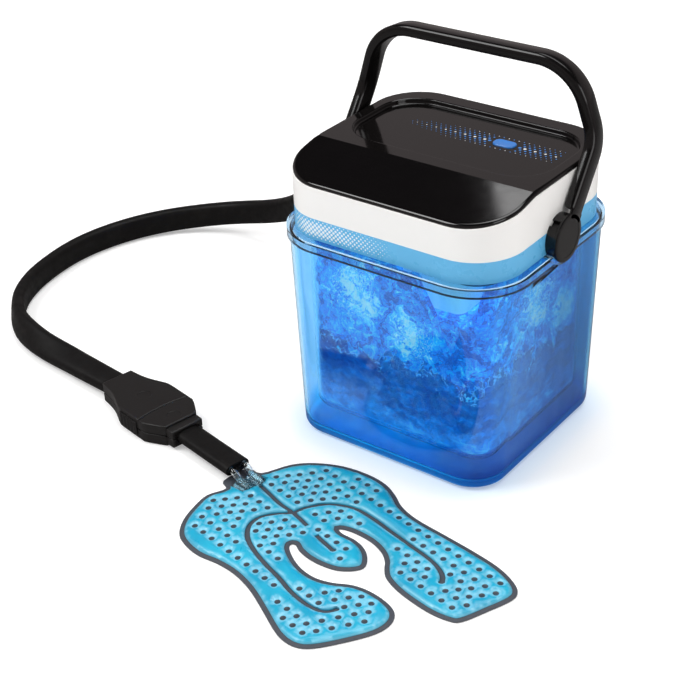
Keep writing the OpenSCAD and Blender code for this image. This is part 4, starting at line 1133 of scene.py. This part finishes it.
def build_coupling():
    """Two shells for the socket and two for the plug, each with bores and a dimple, and the plug's collar."""
    upper = [p for p in smooth_side(SOCKET_SIDE) if p[0] < SPLIT_U - SOCKET_U - 1]
    socket = upper + coupling_arc(0.3) + [(c, -v) for c, v in reversed(upper)]
    socket = anticlockwise([Vector((c + SOCKET_U, v)) for c, v in socket][::-1])
    plug = coupling_arc(0.0)[::-1] + PLUG_SIDE + [(c, -v) for c, v in reversed(PLUG_SIDE)]
    plug = anticlockwise([Vector((c + SOCKET_U, v)) for c, v in plug])
    mid = COUPLING_T / 2
    for name, outline, body, dimple in (("coupling_socket", socket, "reservoir", 48),
                                        ("coupling_plug", plug, "pad", 97)):
        for half, z0, z1 in (("top", mid + HALF_GAP, COUPLING_T), ("bottom", 0.0, mid - HALF_GAP)):
            shell = slab(f"{name}_{half}_shell", outline, z0, z1, 1.5, body, "black_plastic", along_pad)
            bore_pieces(shell, name, dimple, half)
            shell.data.set_sharp_from_angle(angle=math.radians(35))
            shell.modifiers.new("weights", "WEIGHTED_NORMAL").keep_sharp = True
            bake_modifiers(shell)
            shell.data.materials.append(COUPLING)
            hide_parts(f"{name}_{half}")
    for half, z0, z1 in (("top", mid + HALF_GAP, mid + 9), ("bottom", mid - 9, mid - HALF_GAP)):
        ring = [Vector((c + SOCKET_U, v)) for c, v in ((107.6, -18), (118, -17.6), (118, 17.6), (107.6, 18))]
        ring = rounded_polygon(ring, 1.5)
        collar = slab(f"coupling_collar_{half}", ring, z0, z1, 1.3, "pad", "black_plastic", along_pad)
        line_cut(collar, PLUG_BORE_R, SPLIT_U - 12, PLUG_END + 2)
        collar.data.materials.append(COUPLING)


def rounded_polygon(points, r):
    """Clips each corner of a 2-D ring with three short steps."""
    out = []
    m = len(points)
    for i in range(m):
        a, b, c = points[i - 1], points[i], points[(i + 1) % m]
        p, q = b + (a - b).normalized() * r, b + (c - b).normalized() * r
        out += [p, (p + q) * 0.25 + b * 0.5, q]
    return out


def smooth_side(side):
    """The side as a smooth curve that keeps within the coupling's width."""
    curve = smooth_open([(c, v, 0) for c, v in side], 4)
    return [(p.x, min(COUPLING_W / 2, p.y)) for p in curve]


def line_cut(piece, r, u0, u1):
    """Bores the two water lines through a coupling shell."""
    for s in (-1, 1):
        at = along_pad(u0, s * LINE_GAP / 2, COUPLING_T / 2)
        way = along_pad(u1, s * LINE_GAP / 2, COUPLING_T / 2) - at
        cut(piece, loft("tool", disc_rings(at, way, [(0, r), (way.length, r)], 32), None))


def bore_pieces(shell, name, dimple, half):
    """Cuts the water lines, the latches' windows and the thumb dimple."""
    if name == "coupling_socket":
        line_cut(shell, SOCKET_BORE_R, SOCKET_U + 5.9, SPLIT_U + 20)
        for s in (-1, 1):
            u0, u1, v = LATCH["u0"] - LATCH["room"], LATCH["u1"] + LATCH["room"], LATCH["window_v"]
            outline = anticlockwise([Vector((a, s * b)) for a, b in ((u0, v), (u1, v), (u1, 40), (u0, 40))])
            heights = (LATCH["z0"] - LATCH["room"], LATCH["z1"] + LATCH["room"])
            rings = [[along_pad(p.x, p.y, z) for p in outline] for z in heights]
            cut(shell, loft("tool", rings, None))
    else:
        line_cut(shell, PLUG_BORE_R, SPLIT_U - 12, PLUG_END + 2)
    z = COUPLING_T if half == "top" else 0
    at = along_pad(SOCKET_U + dimple, 0, z)
    profile = [(-0.5, 6.4), (-0.2, 7.2), (0.5, 7.6)]
    if half == "bottom":
        profile = [(-along, radius) for along, radius in reversed(profile)]
    cut(shell, loft("tool", disc_rings(at, (0, 0, 1), profile, 48), None))


def build_latches():
    """Latches with a ribbed outer face, which run in the socket's windows."""
    u0, u1, v0, v1, teeth = (LATCH[k] for k in ("u0", "u1", "v0", "v1", "teeth"))
    count = teeth * 4
    outline = []
    for k in range(count + 1):
        rib = 1.3 * math.sin(math.pi * teeth * k / count) ** 2
        outline.append((u0 + (u1 - u0) * k / count, v1 + rib))
    outline += [(u1, v0), (u0, v0)]
    for s, side in ((1, "left"), (-1, "right")):
        ring = anticlockwise([Vector((u, s * v)) for u, v in outline])
        latch = slab("latch_" + side, ring, LATCH["z0"], LATCH["z1"], 0.5, "latch_" + side, "black_plastic",
                     along_pad, steps=2)
        latch.data.materials.append(COUPLING)
        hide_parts("coupling_latch_" + side)


def build_pad_hose():
    """Short flat hose from the collar to the pad, with its two lines."""
    rings = []
    z = COUPLING_T / 2
    for k in range(15):
        u = PLUG_END - PLUG_END * k / 14
        rings.append([along_pad(u, a, z + b) for a, b in oblong(26, 11, 24)])
    hose = loft("hose_short", rings, "pad", "black_rubber", smooth=60)
    for s in (-1, 1):
        at = along_pad(PLUG_END - 1, s * LINE_GAP / 2, z)
        way = along_pad(2, s * LINE_GAP / 2, z) - at
        cut(hose, loft("tool", disc_rings(at, way, [(0, 2.4), (way.length, 2.4)], 24), None))
    hose.data.materials.append(HOSE)
    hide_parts("pad_hose")


build_coupling()
build_latches()
build_pad_hose()


# ---------- pad ----------

PAD_OUTLINE = [
    (-4, 14), (11, 18), (20, 46), (34, 64), (56, 79), (82, 87), (104, 88), (122, 83), (138, 76),
    (160, 73), (193, 75), (227, 77), (254, 77), (274, 73), (287, 66), (291, 55), (287, 32), (281, 7),
    (272, 0), (256, -4), (237, -5), (217, -4), (200, 0), (190, 7), (183, 14), (172, 20), (157, 23),
    (141, 22), (129, 19), (123, 15), (130, 13), (144, 15), (158, 13), (170, 6), (177, -4),
    (173, -14), (163, -23), (149, -28), (135, -30), (122, -29), (113, -26), (110, -29), (115, -34),
    (129, -40), (144, -43), (159, -42), (173, -36), (187, -26), (202, -21), (221, -20), (236, -24),
    (244, -35), (244, -52), (234, -77), (222, -99), (211, -108), (197, -110), (182, -107), (158, -99),
    (131, -91), (107, -88), (86, -90), (67, -95), (49, -95), (32, -90), (18, -76), (8, -56),
    (3, -38), (7, -20), (-4, -14),
]
SEAM_LEFT = [(79, 0), (68, -14), (63, -27), (66, -39), (77, -50), (94, -57), (117, -62),
             (139, -65), (159, -69), (178, -70), (191, -68), (198, -64), (202, -57)]
SEAM_RIGHT = [(79, 0), (81, 13), (89, 28), (101, 38), (116, 44), (137, 45), (156, 44),
              (183, 43), (207, 42), (222, 39), (232, 34), (237, 28)]
SEAM_MIDDLE = [(12, 3), (30, 4), (60, 0), (79, 0), (102, -3)]
SEAM_END = [(117, -6), (143, -9)]
SEAMS = (SEAM_LEFT, SEAM_RIGHT, SEAM_MIDDLE, SEAM_END)
SEAM_W, SEAM_END_R = 4.8, 3.2
DOT_GAP, DOT_ROW = 12.2, 10.4
INLET_BOX = (-20, -15), (26, -15), (26, 15), (-20, 15)
FILM_MARGIN, FILM_STEP = 4.4, 3.0
FILM_TOP = 5.0


def distance_to_path(p, path, closed=False):
    """Distance of a 2-D point from a path."""
    best = 1e9
    for i in range(len(path) if closed else len(path) - 1):
        near, f = intersect_point_line(p, path[i], path[(i + 1) % len(path)])
        f = max(0.0, min(1.0, f))
        at = path[i] + (path[(i + 1) % len(path)] - path[i]) * f
        best = min(best, (p - at).length)
    return best


def band(path, w):
    """Closed outline of a seam of width w, with square ends."""
    last = len(path) - 1
    ways = [(path[min(i + 1, last)] - path[max(i - 1, 0)]).normalized() for i in range(last + 1)]
    left = [p + Vector((-t.y, t.x)) * w / 2 for p, t in zip(path, ways)]
    right_side = [p - Vector((-t.y, t.x)) * w / 2 for p, t in zip(path, ways)]
    return left + right_side[::-1]


def weld_dots(border, seams, inlet):
    """Centres of the staggered weld dots, clear of the border, the seams and the inlet."""
    dots = []
    for row in range(-12, 10):
        for col in range(-4, 30):
            p = Vector((DOT_GAP * col + (DOT_GAP / 2 if row % 2 else 0), DOT_ROW * row + 2 * math.sin(row)))
            p = Vector((p.x + 3, p.y))
            if not inside(p, border) or inside(p, inlet):
                continue
            if distance_to_path(p, border, True) < 6.2 or min(distance_to_path(p, s) for s in seams) < 6.6:
                continue
            dots.append(p)
    return dots


def open_edges(triangles):
    """Edges that have a triangle on one side only."""
    edges = {}
    for t in triangles:
        for a, b in ((t[0], t[1]), (t[1], t[2]), (t[2], t[0])):
            if (b, a) in edges:
                del edges[(b, a)]
            else:
                edges[(a, b)] = True
    return edges


def build_pad():
    """The filled film: a crowned sheet drawn down at weld dots, welded seams and the outline."""
    outline = smooth_closed(PAD_OUTLINE, 4)
    border = offset_ring(outline, -FILM_MARGIN if area(outline) < 0 else FILM_MARGIN)
    seams = [smooth_open([(u, v, 0) for u, v in s], 3) for s in SEAMS]
    seams = [[Vector(p[:2]) for p in s] for s in seams]
    holes = [band(s, SEAM_W) for s in seams]
    for end in (seams[0][-1], seams[1][-1], seams[3][-1]):
        holes.append([end + Vector(at) * SEAM_END_R for at in circle(14)])
    inlet = [Vector(p) for p in INLET_BOX]
    dots = weld_dots(border, seams, inlet)

    def in_film(p):
        return inside(p, border) and not any(inside(p, h) for h in holes) and not inside(p, inlet)

    flat, edges = [], []

    def loop(points):
        start = len(flat)
        flat.extend(points)
        edges.extend((start + i, start + (i + 1) % len(points)) for i in range(len(points)))

    loop(border)
    for h in holes:
        loop(h)
    loop(inlet)
    for p in dots:
        for r, n in ((2.7, 12), (4.0, 14)):
            loop([p + Vector(at) * r for at in circle(n)])
    step = FILM_STEP
    lows = [min(p[k] for p in border) for k in (0, 1)]
    highs = [max(p[k] for p in border) for k in (0, 1)]
    row = 0
    v = lows[1]
    while v < highs[1]:
        u = lows[0] + (step / 2 if row % 2 else 0)
        while u < highs[0]:
            p = Vector((u, v))
            clear_of_dots = all((p - q).length > 5.2 for q in dots)
            if in_film(p) and clear_of_dots and distance_to_path(p, border, True) > 1.2:
                flat.append(p)
            u += step
        v += step * 0.87
        row += 1

    verts, _, tris, _, _, _ = delaunay_2d_cdt(flat, edges, [], 0, 1e-4)
    keep = [tuple(t) for t in tris if in_film(centre_of(verts, t))]
    used = sorted({i for t in keep for i in t})
    index = {v: k for k, v in enumerate(used)}

    tops, weld = [], []
    for i in used:
        p = verts[i]
        edge = min(distance_to_path(p, border, True), 40)
        seam = min(distance_to_path(p, s) for s in seams) - SEAM_W / 2
        dot = min((p - q).length for q in dots)
        rise = min(1.0, max(0, edge) / 9) ** 0.5
        rise *= 0.35 + 0.65 * min(1.0, max(0, seam) / 6) ** 0.5
        dip = min(1.0, max(0, dot - 2.5) / 3.9)
        dip = dip * dip * (3 - 2 * dip)
        wave = noise.noise(Vector((p.x / 24, p.y / 24, 0)))
        crumple = max(0.0, 1 - (p - Vector((30, 6))).length / 42)
        ripple = abs(noise.noise(Vector((p.x / 5, p.y / 9, 3)))) * crumple * 1.6
        h = 0.5 + (FILM_TOP - 1.3) * rise * (0.30 + 0.70 * dip) * (0.92 + 0.12 * wave) + ripple
        tops.append(min(FILM_TOP - 0.05, h))
        near = min(dot - 2.6, edge, seam)
        weld.append(max(0.0, 1 - abs(near - 0.9) / 1.6))
    count = len(used)
    points = [along_pad(verts[i].x, verts[i].y, BACKING_T + 0.02 + h) for i, h in zip(used, tops)]
    points += [along_pad(verts[i].x, verts[i].y, BACKING_T + 0.02) for i in used]
    faces = [tuple(index[i] for i in t) for t in keep]
    faces += [tuple(index[i] + count for i in reversed(t)) for t in keep]
    faces += [(index[b], index[a], index[a] + count, index[b] + count) for a, b in open_edges(keep)]
    mesh = bpy.data.meshes.new("pad_film")
    mesh.from_pydata([p * MM for p in points], [], faces)
    mesh.materials.append(FILM)
    mesh.materials.append(WELD)
    attribute = mesh.attributes.new("weld", "FLOAT", "POINT")
    attribute.data.foreach_set("value", weld + [0.0] * count)
    for k, t in enumerate(keep):
        centre = centre_of(verts, t)
        if min((centre - q).length for q in dots) < 2.65:
            mesh.polygons[k].material_index = 1
    mesh.update()
    mesh.shade_smooth()
    mesh.set_sharp_from_angle(angle=math.radians(60))
    film = bpy.data.objects.new("pad_film", mesh)
    scene.collection.objects.link(film)
    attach(film, "pad")
    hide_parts("pad_bladder")


def build_backing():
    """The flat sheet under the film."""
    outline = anticlockwise(smooth_closed(PAD_OUTLINE, 4))
    backing = slab("pad_backing_cloth", outline, 0.0, BACKING_T, 0.5, "pad", "backing_grey", along_pad,
                   steps=2)
    backing.data.materials.append(BACKING)
    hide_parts("pad_backing")


TUBE_DROP = [(0, 11), (4, 10.9), (8, 8.2), (12, 5.2), (18, 5), (26, 5)]


def build_inlet():
    """Two clear tubes under a crumpled clear film, where the short hose meets the pad."""
    rings_for = []
    for s in (-1, 1):
        path = smooth_open([(u, s * LINE_GAP / 2, z) for u, z in TUBE_DROP], 3)
        ways = headings(path, (1, 0, 0), (1, 0, 0))
        outer, inner = [], []
        for at, way in zip(path, ways):
            side = Vector((0, 1, 0))
            up = way.cross(side)
            for r, rings in ((3.45, outer), (2.45, inner)):
                rings.append([along_pad(*(at + r * (c * side + t * up))) for c, t in circle(20)])
        rings_for.append((outer, inner))
    pieces = [loft("pad_tube", outer + inner[::-1], "pad", "clear_tube", closed=True, smooth=60)
              for outer, inner in rings_for]
    tubes = joined(pieces)
    tubes.name = "pad_tubes_clear"
    tubes.data.materials.append(TUBE)
    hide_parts("pad_tubes")

    nu, nv = 30, 34
    points = []
    for layer in (0, 1):
        for i in range(nu + 1):
            for j in range(nv + 1):
                u, v = 10 + 17 * i / nu, -14 + 28 * j / nv
                over = max(math.exp(-((v - s * LINE_GAP / 2) / 3.6) ** 2) for s in (-1, 1))
                crease = abs(noise.noise(Vector((u / 3.2, v / 2.4, 1)))) * 1.3
                h = 2.4 + 5.4 * over * (1 - 0.25 * i / nu) + crease
                edge = min(j, nv - j) / 4
                h = min(8.0, 0.8 + (h - 0.8) * min(1, edge))
                z = BACKING_T + 0.03 + (h if layer == 0 else 0.0)
                points.append(along_pad(u, v, z))
    n = (nu + 1) * (nv + 1)
    faces = []
    for i in range(nu):
        for j in range(nv):
            a, b = i * (nv + 1) + j, (i + 1) * (nv + 1) + j
            faces.append((a, b, b + 1, a + 1))
            faces.append((n + a, n + a + 1, n + b + 1, n + b))
    for i in range(nu):
        a, b = i * (nv + 1), (i + 1) * (nv + 1)
        faces.append((b, a, n + a, n + b))
        faces.append((a + nv, b + nv, n + b + nv, n + a + nv))
    for j in range(nv):
        faces.append((j, j + 1, n + j + 1, n + j))
        a = nu * (nv + 1) + j
        faces.append((a + 1, a, n + a, n + a + 1))
    block = make_object("pad_inlet_film", points, faces, "pad", "clear_tube", smooth=60)
    block.data.materials.append(FILM_CLEAR)
    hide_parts("pad_inlet")


build_backing()
build_pad()
build_inlet()


# ---------- studio ----------

def build_floor():
    """White floor with a painted blue glow under and around the tub, which glossy parts see as dim."""
    look = Look("floor_white")
    x, y, z = look.split(look.place())
    dx = look.most(look.minus(look.math("ABSOLUTE", x), 70), 0)
    dy = look.most(look.minus(look.math("ABSOLUTE", y), 65), 0)
    # painted light: a blue glow on the floor under and around the tub, in both colour and emission
    glow = look.times(look.span(look.hypot(dx, dy), 80, 38, 0, 1, smooth=True), 0.3)
    through, mirrored = look.rays()
    white_with_painted_glow = look.mix(glow, (0.80, 0.80, 0.80), (0.30, 0.58, 0.85))
    look.set(Base_Color=look.mix(mirrored, white_with_painted_glow, (0.26, 0.25, 0.25)), Roughness=0.9,
             Emission_Color=look.mix(glow, (0.93, 0.93, 0.93), (0.30, 0.62, 0.95)),
             Emission_Strength=look.times(through, 0.34), Specular_IOR_Level=0.1)
    corners = [(-6000, -6000, 0), (6000, -6000, 0), (6000, 6000, 0), (-6000, 6000, 0)]
    floor = make_object("floor", corners, [(0, 1, 2, 3)], None)
    floor.location.z = -0.0004
    floor.data.materials.append(look.done())


def build_world():
    """White behind the object, grey as light, and a soft horizon in mirror images."""
    world = bpy.data.worlds.new("studio")
    scene.world = world
    world.use_nodes = True
    sky = Tree(world.node_tree)
    up = sky.split(sky.node("ShaderNodeTexCoord").outputs["Generated"])["Z"]
    through, mirrored = sky.rays()
    reflection = sky.mix(sky.span(up, 0.47, 0.59, smooth=True), (0.33, 0.29, 0.29), (0.008, 0.008, 0.012))
    plain = sky.mix(through, (0.57, 0.56, 0.55), (1, 1, 1))
    sky.put(world.node_tree.nodes["Background"].inputs["Color"], sky.mix(mirrored, plain, reflection))


def build_lamps():
    def lamp(name, at, aim, size, power):
        data = bpy.data.lights.new(name, "AREA")
        data.shape = "RECTANGLE"
        data.size, data.size_y = size
        data.energy = power
        light = bpy.data.objects.new(name, data)
        scene.collection.objects.link(light)
        light.location = at
        light.rotation_mode = "QUATERNION"
        light.rotation_quaternion = (Vector(aim) - Vector(at)).to_track_quat("-Z", "Y")

    lamp("key", (-1.3, -1.2, 2.3), (-0.05, -0.05, 0.12), (1.2, 1.2), 38)
    lamp("fill", (1.9, -0.6, 0.98), (0, 0, 0.15), (0.8, 1.0), 7)
    lamp("top", (0.1, 0.5, 2.2), (0, 0, 0.1), (1.6, 1.2), 25)
    lamp("corner", (-0.62, 0.87, 1.36), (0.087, -0.073, 0.269), (0.10, 0.10), 0.11)


build_floor()
build_world()
build_lamps()
